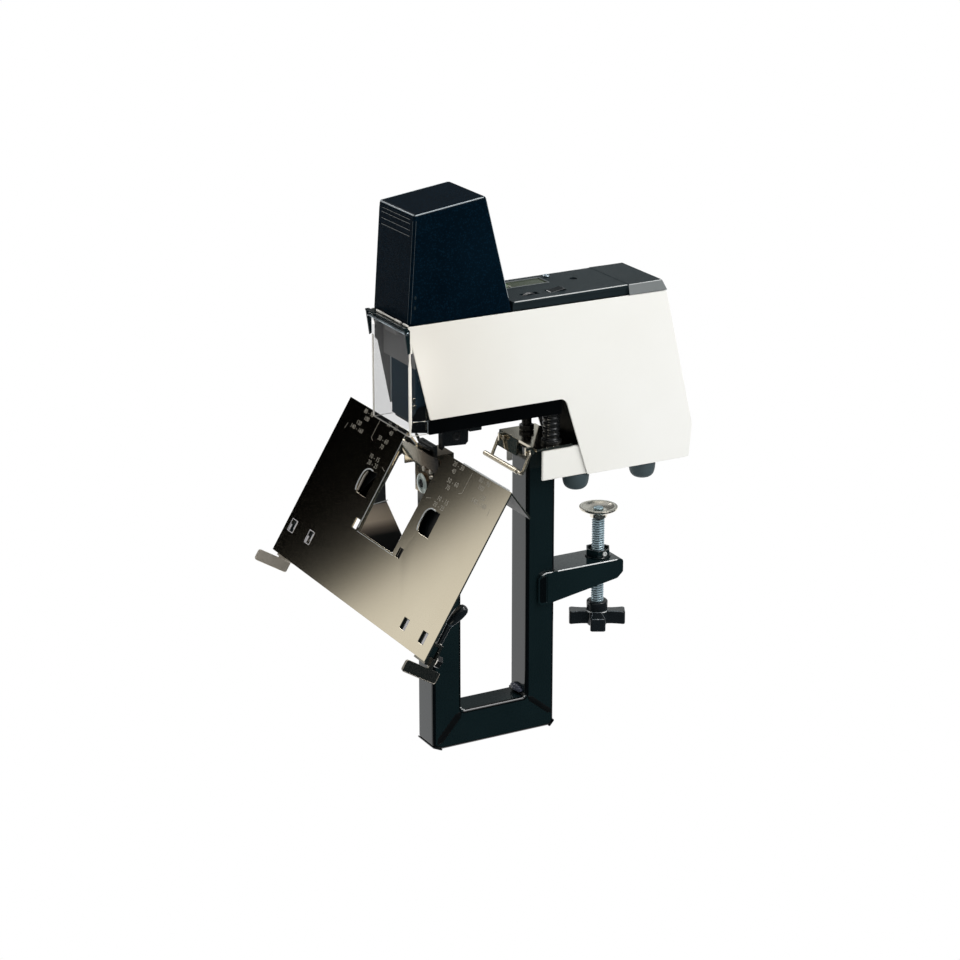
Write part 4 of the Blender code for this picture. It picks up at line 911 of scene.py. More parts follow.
# thin dim lines down the tower's front corners: painted highlights
bm = bmesh.new()
for sx in (-1, 1):
    for dx, dy in ((33.95, 2.2), (32.0, 0.05)):
        tube_bm([(sx * dx, tower_line(z)[0] + dy, z) for z in (181.0, 204.0, 228.0, 250.0, 270.4)], 0.13, 8, "round", bm)
ob = obj_from("tower_front_lines", bm, "dim_edge_line")
rounded(ob, 0, sharp=60)
extra(ob, "base")
# two small oval keyholes on each flank, near the front edge
bm = bmesh.new()
for sx in (-1, 1):
    for (yy, zz) in ((-151.8, 203.4), (-152.4, 194.4)):
        m4 = Matrix.Translation(Vector((sx * 33.93, yy, zz)) * MM) @ Matrix.Diagonal((0.18, 1.2, 1.9, 1))
        bmesh.ops.create_uvsphere(bm, u_segments=18, v_segments=10, radius=1.0 * MM, matrix=m4)
ob = obj_from("tower_keyholes", bm, "charcoal_plastic")
rounded(ob, 0, sharp=60)
extra(ob, "base")

# deck: top skin with a lip, recessed band below it, flush rear cap with sloped cheeks
deck = prism_ob("deck_shell", [(-55.8, 179.4), (-55.8, 187.4), (97.0, 189.0), (101.0, 179.4)], "x", -34.3, 34.3, ["charcoal_plastic", "charcoal_edge"])
cutby(deck, box_ob("c0", (33.5, -60.0, 179.0), (36.0, 61.0, 184.9)), box_ob("c00", (-36.0, -60.0, 179.0), (-33.5, 61.0, 184.9)))
capm = bmesh.new()
prof_c = [(-36.6, 179.35), (36.6, 179.35), (36.6, 180.2), (34.6, 188.85), (-34.6, 188.85), (-36.6, 180.2)]
cap = prism_ob("cap", prof_c, "y", 62.0, 101.8, "charcoal_plastic")
cutby(cap, prism_ob("c1", [(97.2, 192.0), (110.0, 192.0), (110.0, 170.0), (101.7, 179.2), (97.0, 189.1)], "x", -50, 50, "charcoal_plastic"))
cutby(deck, cap, op="UNION")
cutby(deck, box_ob("c2", (-32.0, -55.0, 170.0), (32.0, 96.0, 185.4)),
      box_ob("c3", (13.7, -39.0, 170.0), (20.7, -21.6, 200.0)),
      box_ob("c4", (12.2, -12.7, 170.0), (22.8, 5.5, 200.0)),
      box_ob("c5", (-27.0, -44.0, 186.6), (-8.0, 4.0, 200.0)),
      obj_from("c6", lathe_bm([(0, 170), (2.2, 170), (2.2, 200), (0, 200)], (-26.4, 11.9, 0), n=32), "charcoal_plastic"),
      obj_from("c7", lathe_bm([(0, 170), (3.6, 170), (3.6, 200), (0, 200)], (-8.6, 29.8, 0), n=40), "charcoal_plastic"))
# the cap's sloped cheeks take the lighter charcoal: a painted reflection of the light they face
for q in deck.data.polygons:
    c_ = q.center
    if abs(q.normal.x) > 0.75 and abs(c_.x) > 0.0343 and c_.y > 0.061:
        q.material_index = 1
rounded(deck, 0.55, 3, 35, sharp=45)
part(deck, "deck_cover")
# pale line along the deck's two long sides: a painted highlight
bm = bmesh.new()
for sx in (-1, 1):
    tube_bm([(sx * 33.95, -54.4 + 12.8 * k, 187.05 + 0.134 * k) for k in range(10)], 0.5, 8, "round", bm)
    tube_bm([(sx * 34.45, 62.6 + 8.6 * k, 188.28 + 0.085 * k) for k in range(5)], 0.42, 8, "round", bm)
ob = obj_from("deck_edge_highlight", bm, "pale_line")
rounded(ob, 0, sharp=60)
extra(ob, "base")

ob = skin("indicator_window", "olive_window", 0.15, 2)
ob = prism_ob("window_sector", [(-26.2, -43.2), (-9.4, -43.2), (-12.0, -36.0), (-21.0, -31.5)], "z", 187.2, 187.95, "green_film")
rounded(ob, 0.15, 2, 40)
extra(ob, "base")
# a pale diagonal line across the window: a painted glint
ob = tube("window_glint", [(-24.6, -41.6, 188.0), (-18.0, -38.4, 188.0), (-11.4, -33.0, 188.0)], 0.42, "cream_highlight", 10)
extra(ob, "base")
frm = prism_ob("window_rim", [(-27.6, -44.6), (-7.4, -44.6), (-7.4, 4.6), (-27.6, 4.6)], "z", 187.2, 188.35, "charcoal_edge",
               holes=([(-26.7, -43.7), (-8.3, -43.7), (-8.3, 3.7), (-26.7, 3.7)],))
cutby(frm, prism_ob("cc", [(-60, 187.85), (20, 188.62), (20, 200), (-60, 200)], "x", -50, 50, "charcoal_edge"))
rounded(frm, 0.15, 2, 40)
extra(frm, "base")

prof = [(0, 178.0), (1.7, 178.0), (1.7, 188.5), (3.1, 188.55), (3.3, 188.8), (3.1, 189.5), (2.2, 190.0), (0, 190.0)]
ds = obj_from("deck_screw_head", lathe_bm(prof, (-26.4, 11.9, 0), n=40), "zinc")
cutby(ds, box_ob("c1", (-28.8, 11.45, 189.3), (-24.0, 12.35, 195.0)), box_ob("c2", (-26.85, 9.5, 189.3), (-25.95, 14.3, 195.0)))
rounded(ds, 0.12, 2, 40, sharp=50)
part(ds, "deck_screw")
prof = [(0, 178.0), (3.2, 178.0), (3.2, 186.9), (2.8, 187.4), (1.6, 187.3), (0, 187.1)]
part(lathe("reset_button_cap", prof, (-8.6, 29.8, 0), "black_plastic", n=40), "reset_button")

# rocker with a raised end
rk = prism_ob("rocker_body", fillet([(-11.0, 180.4), (-11.0, 187.7), (-3.6, 188.6), (3.8, 190.2), (3.8, 180.4)], [0, 1.2, 4, 1.0, 0], 4), "x", 12.7, 22.3, "gloss_knob")
rounded(rk, 0.5, 3, 45)
part(rk, "main_switch")

# thumb wheel with fine serrations and a plain hub
bm = bmesh.new()
n = 120
for side in range(2):
    pass
ringa, ringb = [], []
for k in range(n):
    a = 2 * math.pi * k / n
    rr = 10.5 if k % 3 == 0 else (10.25 if k % 3 == 1 else 9.75)
    ringa.append((rr * math.cos(a) - 30.2, rr * math.sin(a) + 178.4))
wheel = prism_ob("wheel_serrated", ringa, "x", 14.7, 19.7, "black_plastic")
md = wheel.modifiers.new("b", "BEVEL"); md.width = 0.35 * MM; md.segments = 2; md.limit_method = "ANGLE"; md.angle_limit = math.radians(70)
apply_mods(wheel)
hub = obj_from("hub", lathe_bm([(0, 12.4), (2.9, 12.4), (3.2, 12.7), (3.2, 21.7), (2.9, 22.0), (0, 22.0)], (0, -30.2, 178.4), axis="x", n=32), "black_plastic")
cutby(wheel, hub, op="UNION")
rounded(wheel, 0, sharp=40)
part(wheel, "force_wheel")

# ================================================================ guard
skin("guard_bracket", "black_paint", 0.35, 2, 35)
prof = [(0, -38.9), (1.2, -38.9), (1.5, -38.6), (1.5, 38.6), (1.2, 38.9), (0, 38.9)]
part(lathe("guard_pin_rod", prof, (0, -161.8, 173.4), "zinc", axis="x", n=24), "guard_pin")

me = raw_mesh(nodes["guard_shield"].data)
bm = bmesh.new(); bm.from_mesh(me); bpy.data.meshes.remove(me)
bmesh.ops.remove_doubles(bm, verts=bm.verts, dist=3e-6)
bmesh.ops.dissolve_limit(bm, angle_limit=math.radians(0.6), verts=bm.verts, edges=bm.edges)
g = obj_from("guard_pane", bm, ["clear_polycarbonate", "cream_highlight"])
# the pane's lower edge faces take the pale cream: a painted highlight
bm = bmesh.new(); bm.from_mesh(g.data)
for q in bm.faces:
    c_ = q.calc_center_median()
    n_ = q.normal
    if abs(n_.z) > 0.8 and c_.z < 0.0796:
        q.material_index = 1
bm.to_mesh(g.data); bm.free()
rounded(g, 0.3, 2, 50, sharp=45)
part(g, "guard_shield")
# the bent front corners of the pane catch the light: a slim bead down each, coloured as a painted highlight
bm = bmesh.new()
for sx in (-1, 1):
    pts = [(sx * 35.9, -158.7, 79.6 + (154.5 - 79.6) * k / 12) for k in range(13)]
    tube_bm(pts, [(1.45 if sx > 0 else 0.85) if 1 < k < 11 else 0.8 for k in range(13)], 12, "round", bm)
tube_bm([(36.0, -160.4, 178.0), (36.0, -159.2, 170.0), (36.0, -157.6, 161.0), (36.0, -157.6, 155.5)], [0.35, 0.8, 1.2, 1.35], 12, "round", bm)
ob = obj_from("guard_corner_beads", bm, "cream_highlight")
rounded(ob, 0, sharp=60)
extra(ob, "guard")

# hinge straps along the top of the guard, coloured as a painted highlight
bm = bmesh.new()
for x0, x1, r in ((-23.0, -12.0, 1.15), (-10.3, 9.5, 0.85), (12.2, 23.2, 1.15), (28.0, 35.4, 1.0)):
    tube_bm([(x0 + (x1 - x0) * i / 6, -160.5, 179.9) for i in range(7)], r, 12, "round", bm)
ob = obj_from("hinge_straps", bm, "cream_highlight")
rounded(ob, 0, sharp=60)
extra(ob, "base")
# grey inner hood above the dark head: a grey sheet painted as the shaded white inside of the housing
hood = prism_ob("inner_hood", [(-151.2, 138.4), (-150.5, 138.4), (-150.5, 171.0), (-152.6, 176.8), (-153.4, 176.8), (-151.2, 170.6)], "x", -30.6, 30.6, "hood_painted_shade")
rounded(hood, 0.25, 2, 40)
extra(hood, "base")
low = prism_ob("lower_cheek_right", [(-157.4, 82.3), (-138.8, 79.3), (-138.8, 104.0), (-149.0, 104.0), (-157.4, 92.0)], "x", 32.5, 33.4, "liner_black")
rounded(low, 0.25, 2, 40)
extra(low, "base")
# pale lines along the lower cheek's edges: painted highlights
bm = tube_bm([(33.5, -157.0, 92.6), (33.5, -149.0, 91.5), (33.5, -141.2, 90.5)], 0.24, 8)
tube_bm([(33.5, -140.4, 91.0), (33.5, -140.4, 85.0), (33.5, -140.4, 79.8)], 0.24, 8, "round", bm)
ob = obj_from("lower_cheek_lines", bm, "edge_line")
rounded(ob, 0, sharp=60)
extra(ob, "base")
# grey sheet inside the left panel: painted shade standing in for the panel's white inner face in shadow
cheek = prism_ob("inner_cheek", [(-158.0, 176.4), (-158.0, 152.5), (-155.3, 149.5), (-143.6, 90.5), (-128.0, 90.5), (-128.0, 176.4)], "x", -33.9, -33.1, "hood_painted_shade")
rounded(cheek, 0.25, 2, 40)
extra(cheek, "base")
# thin light outline of the dark head cover, a painted highlight seen through the pane, and a small bright bracket
# beside it
bm = tube_bm([(-17.6, -150.35, 97.0 + 6.7 * k) for k in range(11)], 0.32, 8)
tube_bm([(-17.0 + 5.8 * k, -150.2, 164.2) for k in range(9)], 0.40, 8, "round", bm)
ob = obj_from("head_outline", bm, "edge_line")
rounded(ob, 0, sharp=60)
extra(ob, "base")
bm = tube_bm([(33.2, -141.9, 83.0), (33.2, -141.9, 92.0), (33.2, -141.9, 103.0)], 0.42, 8)
tube_bm([(33.2, -155.0, 91.4), (33.2, -149.0, 91.2), (33.2, -142.2, 91.0)], 0.42, 8, "round", bm)
box_bm((32.2, -155.4, 103.0), (33.4, -151.6, 107.0), bm)
box_bm((32.2, -155.0, 109.0), (33.4, -152.4, 113.2), bm)
ob = obj_from("latch_bracket", bm, "nickel")
rounded(ob, 0.15, 2, 50, sharp=60)
extra(ob, "base")

# ================================================================ stapling head, magazine, drive
# the chassis plates take shade_grey: a dark grey painted as the shade inside the housing
for nme, mat, w_ in (("head_cover", "head_blue", 0.9), ("driver_guide", "steel", 0.3), ("driver_blade", "steel", 0.2), ("driver_ram", "steel", 0.4),
                     ("solenoid_yoke", "steel", 0.4), ("magazine_rail", "steel", 0.25), ("staple_strip", "zinc", 0.15),
                     ("chassis_left", "shade_grey", 0.2), ("chassis_right", "shade_grey", 0.2), ("control_board", "circuit_board", 0.2),
                     ("transformer", "steel", 0.6)):
    skin(nme, mat, w_, 2, 30)
part(lathe("plunger_rod", [(0, 166.3), (7.2, 166.3), (7.6, 166.8), (7.6, 239.4), (7.0, 240.0), (0, 240.0)], (0, -124.2, 0), "steel", n=40), "plunger")
part(lathe("coil_winding", [(8.5, 195.2), (18.2, 195.2), (18.6, 195.6), (18.6, 248.4), (18.2, 248.8), (8.5, 248.8), (8.5, 195.2)], (0, -124.2, 0), "copper_winding", n=56), "solenoid_coil")
sp = []
for i in range(6 * 28 + 1):
    a = 2 * math.pi * i / 28
    sp.append((9.4 * math.cos(a), -124.2 + 9.4 * math.sin(a), 117.4 + 31.2 * i / (6 * 28)))
coil = tube("spring_coil", sp, 0.8, "steel", 10)
part(coil, "return_spring")
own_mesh(coil)

# follower: grip plate with a rim, a screw head and a hooked tip
me = raw_mesh(nodes["magazine_pusher"].data)
skin("magazine_pusher", "black_plastic", 0.7, 3, 35)
prof = [(0, 12.6), (4.4, 12.6), (4.4, 13.0), (4.1, 13.35), (3.3, 13.5), (2.6, 13.3), (2.3, 13.0), (1.6, 13.05), (0, 13.15)]
ob = lathe("pusher_screw_head", prof, (0, -101.0, 64.4), "black_oxide", axis="x", n=36, sharp=70)
extra(ob, "pusher")
ob = skin("magazine_latch", "black_plastic", 0.6, 3, 35)

# ================================================================ saddle
ob = skin("saddle_plate", "plate_nickel", 0.32, 3, 30, dissolve=0.4)
ob.data.materials.append(M["flap_nickel"])
# the rear flap's underside faces take the darker nickel: painted shade
for q in ob.data.polygons:
    if q.center.y > -0.1236 and q.normal.y < -0.3:
        q.material_index = 1
for side in ("left", "right"):
    ob = skin("saddle_gusset_" + side, "nickel", 0.3, 2, 30)
    # the left gusset's inner faces take the graded painted reflection
    if side == "left":
        ob.data.materials.append(M["gusset_graded"])
        for q in ob.data.polygons:
            if q.normal.x > 0.5:
                q.material_index = 1
# pale line along the left gusset's fold: a painted highlight
ob = tube("gusset_fold_line", [(-37.3, -161.5 + 2.3 * k, -5.2 + 0.27 * k) for k in range(8)], 0.45, "pale_line", 10)
extra(ob, "saddle")
prof = [(0, -41.5), (2.6, -41.5), (3.0, -41.1), (3.0, 41.1), (2.6, 41.5), (0, 41.5)]
part(lathe("tilt_pin_rod", prof, (0, -120.6, 38.4), "zinc", axis="x", n=36), "tilt_pin")

# scale lines and plain numbers, in pale ink
bm = bmesh.new()


def ink_line(bm, x0, s0, x1, s1, w_=0.42):
    a = Vector((x0, -s0)); b = Vector((x1, -s1))
    t = (b - a).normalized(); nn = Vector((-t.y, t.x)) * w_ / 2
    quad = [a - nn, b - nn, b + nn, a + nn]
    lo_ = [bm.verts.new(PLATE @ Vector((q.x * MM, q.y * MM, -0.00002))) for q in quad]
    hi_ = [bm.verts.new(PLATE @ Vector((q.x * MM, q.y * MM, 0.00004))) for q in quad]
    bm.faces.new(hi_)
    bm.faces.new(list(reversed(lo_)))
    for k in range(4):
        j = (k + 1) % 4
        bm.faces.new((lo_[k], lo_[j], hi_[j], hi_[k]))


for s in (-1, 1):
    ink_line(bm, s * 88.5, 3.0, s * 88.5, 22.5)
    ink_line(bm, s * 83.5, 24.5, s * 88.5, 22.5)
    ink_line(bm, s * 41.0, 42.4, s * 48.0, 40.4)
    ink_line(bm, s * 138.0, 22.0, s * 139.0, 28.0)
ob = obj_from("scale_lines", bm, "ink")
extra(ob, "saddle")


def number(text, x, s, h, body="saddle", mw=None, mat="ink", name=None):
    cu = bpy.data.curves.new("num", "FONT")
    cu.body = text
    cu.size = h * MM * 1.4
    cu.align_x = "CENTER"
    cu.align_y = "CENTER"
    cu.extrude = 0.00003
    cu.space_character = 1.1
    t = bpy.data.objects.new("num", cu)
    scene.collection.objects.link(t)
    dg = bpy.context.evaluated_depsgraph_get()
    me = bpy.data.meshes.new_from_object(t.evaluated_get(dg))
    bpy.data.objects.remove(t, do_unlink=True)
    me.transform(PLATE @ Matrix.Translation((x * MM, -s * MM, 0.00002)))
    me.materials.clear()
    return me


bm = bmesh.new()
for s in (-1, 1):
    for txt, x, sd, h in (("20 - 30", 64.0, 4.0, 4.4), ("40", 61.0, 10.0, 4.4), ("50 - 60", 68.0, 19.0, 4.4), ("70", 64.5, 25.0, 4.4), ("10 - 15", 67.0, 37.0, 4.4),
                          ("20 - 25", 65.0, 43.0, 4.4), ("80 - 90", 112.0, 4.4, 4.2), ("100", 111.0, 10.2, 4.2), ("120", 120.0, 17.0, 4.2), ("140 - 160", 119.0, 22.6, 4.2)):
        me = number(txt, s * x, sd, h)
        bm.from_mesh(me)
        bpy.data.meshes.remove(me)
bmesh.ops.remove_doubles(bm, verts=bm.verts, dist=1e-7)
me = bpy.data.meshes.new("scale_numbers")
bm.to_mesh(me); bm.free()
ob = obj_from("scale_numbers", me, "ink")
extra(ob, "saddle")

# side stops, their rail and the lock lever
skin("stop_rail", "black_paint", 0.5, 2, 30)
skin("stop_left", "tab_satin", 0.6, 3, 30)
skin("stop_right", "dull_nickel", 0.6, 3, 30)
# a brighter nickel bead round each stop's edge: a painted highlight on its rim
for lab, sx in (("left", -1), ("right", 1)):
    rx = 153.1 if sx > 0 else -151.1
    bm = tube_bm(bend_path([T(rx, 166.4, 14.35), T(rx, 175.75, 14.35), T(rx, 175.75, -21.75), T(rx, 166.4, -21.75)], 2.0), 0.42, 10)
    ob = obj_from("stop_rim_" + lab, bm, "satin_nickel")
    rounded(ob, 0, sharp=60)
    extra(ob, "stop_%s_body" % lab)

AXX, AXS = 138.5, 159.0


def at_plate(x, s):
    return PLATE @ Matrix.Translation((x * MM, -s * MM, 0))


# hub and link of the lock lever in pale cream: painted light on the hub, which sits in shade, and a painted highlight
# along the link
prof = [(3.15, -19.6), (6.0, -19.6), (6.4, -19.2), (6.4, -15.0), (6.0, -14.6), (3.15, -14.6), (3.15, -19.6)]
ob = lathe("lock_lever_hub", prof, (0, 0, 0), "cream_highlight", n=48, mw=at_plate(AXX, AXS))
extra(ob, "lock_lever_body")
ob = tube("lock_lever_link", smooth_path([T(AXX, 153.6, -17.1), T(AXX + 1.4, 150.0, -17.1), T(AXX + 1.2, 146.6, -17.1), T(AXX, 143.0, -17.1)]), 1.9, "cream_highlight", 18)
extra(ob, "lock_lever_body")
bm = bmesh.new()
path = [T(AXX, 144.2, -17.1), T(AXX, 138.0, -17.1), T(AXX, 130.0, -17.1), T(AXX, 124.8, -17.1)]
tube_bm(path, [2.2, 2.3, 2.5, 2.7], 20, "round", bm)
ob = obj_from("lock_lever_stem", bm, "gloss_knob")
rounded(ob, 0, sharp=60)
extra(ob, "lock_lever_body")
gm = (PLATE @ Matrix.Translation((AXX * MM, -124.0 * MM, -17.1 * MM)) @ Matrix.Rotation(math.radians(-26), 4, "Z")
      @ Matrix.Rotation(math.radians(-90), 4, "X"))
prof = [(0, 0.0), (3.2, 0.0), (3.5, 0.5), (3.8, 2.2), (4.4, 5.0), (5.0, 8.6), (5.2, 12.0), (5.2, 15.6), (4.8, 18.2), (3.7, 20.0), (2.0, 20.8), (0, 21.0)]
ob = lathe("lock_lever_grip", prof, (0, 0, 0), "gloss_knob", n=44, mw=gm, sharp=70)
part(ob, "lock_lever")
prof = [(0, -1.7), (3.2, -1.7), (3.5, -1.4), (3.5, -0.2), (3.1, 0.0), (0, 0.0)]
ob = lathe("lock_lever_collar", prof, (0, 0, 0), "zinc", n=36, mw=gm)
extra(ob, "lock_lever_body")
# profile for a stud beyond the nut; no stud is built from it
prof = [(0, -27.0), (2.3, -27.0), (2.8, -26.5), (2.8, -19.0), (0, -19.0)]

hexn = []
for k in range(6):
    a = math.radians(60 * k + 15)
    hexn.append((AXX + 5.6 * math.cos(a), -AXS + 5.6 * math.sin(a)))
nut = prism_ob("lock_nut_hex", hexn, "z", -26.0, -20.0, "dark_nickel", fr=PLATE)
cutby(nut, obj_from("c1", lathe_bm([(0, -30), (3.1, -30), (3.1, -16), (0, -16)], (0, 0, 0), n=32, mw=at_plate(AXX, AXS)), "zinc"))
rounded(nut, 0.5, 3, 30, sharp=45)
part(nut, "lock_nut")

# pale strips in the side slots of the table: painted light standing in for the bright gap seen through them, and
# painted highlights on the left slots' rims
bm = bmesh.new()
for x0, x1, s0, s1 in ((103.4, 107.0, 139.9, 150.2), (138.4, 141.9, 139.9, 150.2), (-146.6, -144.4, 131.0, 137.2), (-138.6, -136.9, 126.6, 134.0),
                       (-109.6, -107.4, 131.0, 137.2), (-102.6, -100.9, 126.6, 134.0)):
    b2 = prism_bm([(x0, -s1), (x1, -s1), (x1, -s0), (x0, -s0)], "z", -1.0, -0.2, fr=PLATE)
    me = bpy.data.meshes.new("t"); b2.to_mesh(me); b2.free(); bm.from_mesh(me); bpy.data.meshes.remove(me)
for x0, x1, s0, s1 in ((-147.2, -136.3, 125.8, 137.7), (-110.2, -100.3, 125.3, 137.7)):
    tube_bm(bend_path([T(x0, s0, 0.05), T(x1, s0, 0.05), T(x1, s1, 0.05), T(x0, s1, 0.05), T(x0, s0 + 0.01, 0.05)], 1.0), 0.36, 8, "round", bm)
ob = obj_from("slot_guides", bm, "slot_light")
rounded(ob, 0.2, 2, 40)
extra(ob, "saddle")

# dished cups behind the two D-shaped openings
for lab, sx in (("left", -1), ("right", 1)):
    wall = []
    ia, ib = (49.2, 87.0) if sx < 0 else (40.2, 74.0)
    dloop = [(sx * ia, -75.0), (sx * ia, -45.0), (sx * 62.0, -45.0), (sx * ib, -46.0), (sx * ib, -74.0), (sx * 62.0, -75.0)]
    if sx < 0:
        dloop = list(reversed(dloop))
    cup = prism_ob("opening_cup_" + lab, fillet(dloop, 3.0, 4), "z", -7.4, -1.7, "weld_black_and_shade", fr=PLATE)
    inner_loop = [(x * 1.0 + (0.9 if x < sx * 61 else -0.9) * 1.0, y + (0.9 if y < -60 else -0.9)) for x, y in dloop]
    cutby(cup, prism_ob("cc", fillet(inner_loop, 2.4, 4), "z", -6.7, 0.5, "weld_black_and_shade", fr=PLATE))
    rounded(cup, 0.2, 2, 40, sharp=50)
    extra(cup, "saddle")
bm = tube_bm([T(-69.8, 70.0, -1.6), T(-70.4, 62.0, -1.6), T(-70.4, 56.0, -1.6), T(-68.6, 51.0, -1.6)], [0.9, 1.3, 1.3, 0.9], 16)
ob = obj_from("left_opening_spring", bm, "satin_nickel")
rounded(ob, 0, sharp=60)
extra(ob, "saddle")
# bright lines painted as highlights on the rims of the two openings, the notch's left edge and the ridge
bm = bmesh.new()
for x0, sg in ((49.9, 1), (-73.1, 1)):
    tube_bm(smooth_path([T(x0 + 14.5, 47.8, 0.1), T(x0 + 8.0, 47.7, 0.1), T(x0 + 2.6, 50.2, 0.1), T(x0, 55.0, 0.1), T(x0 - 0.1, 66.0, 0.1), T(x0 + 2.0, 70.5, 0.1)]), 0.62, 10, "round", bm)
tube_bm([T(-37.1, 2.0 + 9.6 * k, 0.05) for k in range(11)], 0.42, 8, "round", bm)
tube_bm([T(-36.0 + 8.0 * k, 101.5, -0.05) for k in range(10)], 0.22, 8, "round", bm)
tube_bm([T(70.0 + 9.0 * k, -0.30, -0.05) for k in range(10)], 0.72, 8, "round", bm)
ob = obj_from("bright_rims", bm, "pale_line")
rounded(ob, 0, sharp=60)
extra(ob, "saddle")
# dark backing under the right-hand corner hole
ob = prism_ob("corner_hole_backing", [(33.0, -104.0), (50.0, -104.0), (50.0, -88.0), (33.0, -88.0)], "z", -2.9, -2.2, "weld_black_and_shade", fr=PLATE)
rounded(ob, 0.2, 2, 40)
extra(ob, "saddle")

# ================================================================ anvil
ob = skin("anvil_carrier", "graded_nickel", 0.4, 3, 30)
skin("anvil", "dark_nickel", 0.3, 2, 30)
# bright socket bolt on the carrier's boss, and three small screws above it
prof = [(0, -130.9), (9.0, -130.9), (9.2, -131.2), (9.1, -131.6), (8.4, -132.1), (6.6, -132.6), (5.1, -132.8), (4.8, -132.6), (4.8, -131.4), (0, -131.4)]
hb = obj_from("carrier_bolt", lathe_bm(prof, (3.5, 0, 22.8), axis="y", n=56), "bolt_zinc")
rounded(hb, 0.1, 2, 50, sharp=45)
extra(hb, BODY["anvil_carrier"])
hexs = [(4.3 * math.cos(math.radians(60 * k + 12)) + 3.5, 4.3 * math.sin(math.radians(60 * k + 12)) + 22.8) for k in range(6)]
hs = prism_ob("carrier_bolt_socket", hexs, "y", -131.9, -131.2, "black_oxide")
rounded(hs, 0.1, 1, 40)
extra(hs, BODY["anvil_carrier"])
bm = bmesh.new()
for (x, y, z, r) in ((7.3, -131.4, 37.8, 2.4), (19.5, -131.0, 38.2, 2.2), (20.0, -131.0, 33.2, 1.7)):
    b2 = lathe_bm([(0, -1.2), (r * 0.5, -1.1), (r * 0.9, -0.6), (r, 0.0), (r, 1.6), (0, 1.6)], (x, y, z), axis="y", n=28)
    me = bpy.data.meshes.new("t"); b2.to_mesh(me); b2.free(); bm.from_mesh(me); bpy.data.meshes.remove(me)
ob = obj_from("carrier_small_screws", bm, "satin_nickel")
rounded(ob, 0, sharp=60)
extra(ob, BODY["anvil_carrier"])
skin("paper_trigger", "black_oxide", 0.3, 2, 30)

# every other node keeps its shape and gets rounded edges
for nme in sorted(nodes):
    if nme not in DONE:
        print("plain node:", nme)
        skin(nme)

# ================================================================ stage, light and camera
scene.view_settings.view_transform = "Standard"
scene.view_settings.look = "None"
scene.view_settings.exposure = 0.0
scene.view_settings.gamma = 1.0


def emit_mat(name, colour, strength, build=None):
    m = bpy.data.materials.new(name)
    m.use_nodes = True
    nt = m.node_tree
    for n in list(nt.nodes):
        nt.nodes.remove(n)
    out = nt.nodes.new("ShaderNodeOutputMaterial")
    em = nt.nodes.new("ShaderNodeEmission")
    em.inputs["Color"].default_value = (*colour, 1)
    em.inputs["Strength"].default_value = strength
    nt.links.new(em.outputs[0], out.inputs[0])
    if build:
        build(nt, em)
    return m


def plane(name, centre, u, w_, hu, hw, mat, camera=False, glossy=True, diffuse=False, shadow=False):
    """A card: centre in metres, two directions and half sizes."""
    u = Vector(u).normalized(); w_ = Vector(w_).normalized()
    c0 = Vector(centre)
    me = bpy.data.meshes.new(name)
    me.from_pydata([c0 - u * hu - w_ * hw, c0 + u * hu - w_ * hw, c0 + u * hu + w_ * hw, c0 - u * hu + w_ * hw], [], [(0, 1, 2, 3)])
    me.materials.append(mat)
    ob = bpy.data.objects.new(name, me)
    scene.collection.objects.link(ob)
    ob.visible_camera = camera
    ob.visible_glossy = glossy
    ob.visible_diffuse = diffuse
    ob.visible_shadow = shadow
    ob.visible_transmission = False
    return ob


FLOOR_Z = -0.2368
floor_mat = emit_mat("white_floor", (1.0, 1.0, 1.0), 1.0)
# camera and diffuse light see an even white floor; glossy rays see the same floor, cut off by the dark flag on the right
plane("floor", (0, 0, FLOOR_Z), (1, 0, 0), (0, 1, 0), 30, 30, floor_mat, camera=True, glossy=True, diffuse=True, shadow=False)


def logistic(nt, em, u, mid, k, lo, hi, colour):
    """Emission that rises smoothly from lo to hi along u (metres, object space), centred on mid."""
    tc = nt.nodes.new("ShaderNodeTexCoord")
    dp = nt.nodes.new("ShaderNodeVectorMath"); dp.operation = "DOT_PRODUCT"
    nt.links.new(tc.outputs["Object"], dp.inputs[0])
    dp.inputs[1].default_value = u
    a = nt.nodes.new("ShaderNodeMath"); a.operation = "SUBTRACT"
    nt.links.new(dp.outputs["Value"], a.inputs[0]); a.inputs[1].default_value = mid
    b = nt.nodes.new("ShaderNodeMath"); b.operation = "DIVIDE"
    nt.links.new(a.outputs[0], b.inputs[0]); b.inputs[1].default_value = -k
    e = nt.nodes.new("ShaderNodeMath"); e.operation = "EXPONENT"
    nt.links.new(b.outputs[0], e.inputs[0])
    p1 = nt.nodes.new("ShaderNodeMath"); p1.operation = "ADD"
    nt.links.new(e.outputs[0], p1.inputs[0]); p1.inputs[1].default_value = 1.0
    d = nt.nodes.new("ShaderNodeMath"); d.operation = "DIVIDE"
    d.inputs[0].default_value = hi - lo
    nt.links.new(p1.outputs[0], d.inputs[1])
    s = nt.nodes.new("ShaderNodeMath"); s.operation = "ADD"
    nt.links.new(d.outputs[0], s.inputs[0]); s.inputs[1].default_value = lo
    nt.links.new(s.outputs[0], em.inputs["Strength"])


# left card: the table mirrors it, dark at its far end and bright at its near end
H = Vector((-0.86013, -0.51008, 0)); TT = Vector((-0.51008, 0.86013, 0))
Q0 = Vector((0, -0.160, 0)) + H * 2.0
off = Q0.dot(TT)
left_mat = emit_mat("left_card", (1.0, 0.985, 0.93), 1.0, lambda nt, em: logistic(nt, em, (-TT.x, -TT.y, -0.06), 0.062 - off - 0.027, 0.021, 0.0, 0.97, None))
plane("left_card", tuple(Q0 + Vector((0, 0, 0.40))), tuple(TT), (0, 0, 1), 1.3, 0.42, left_mat)

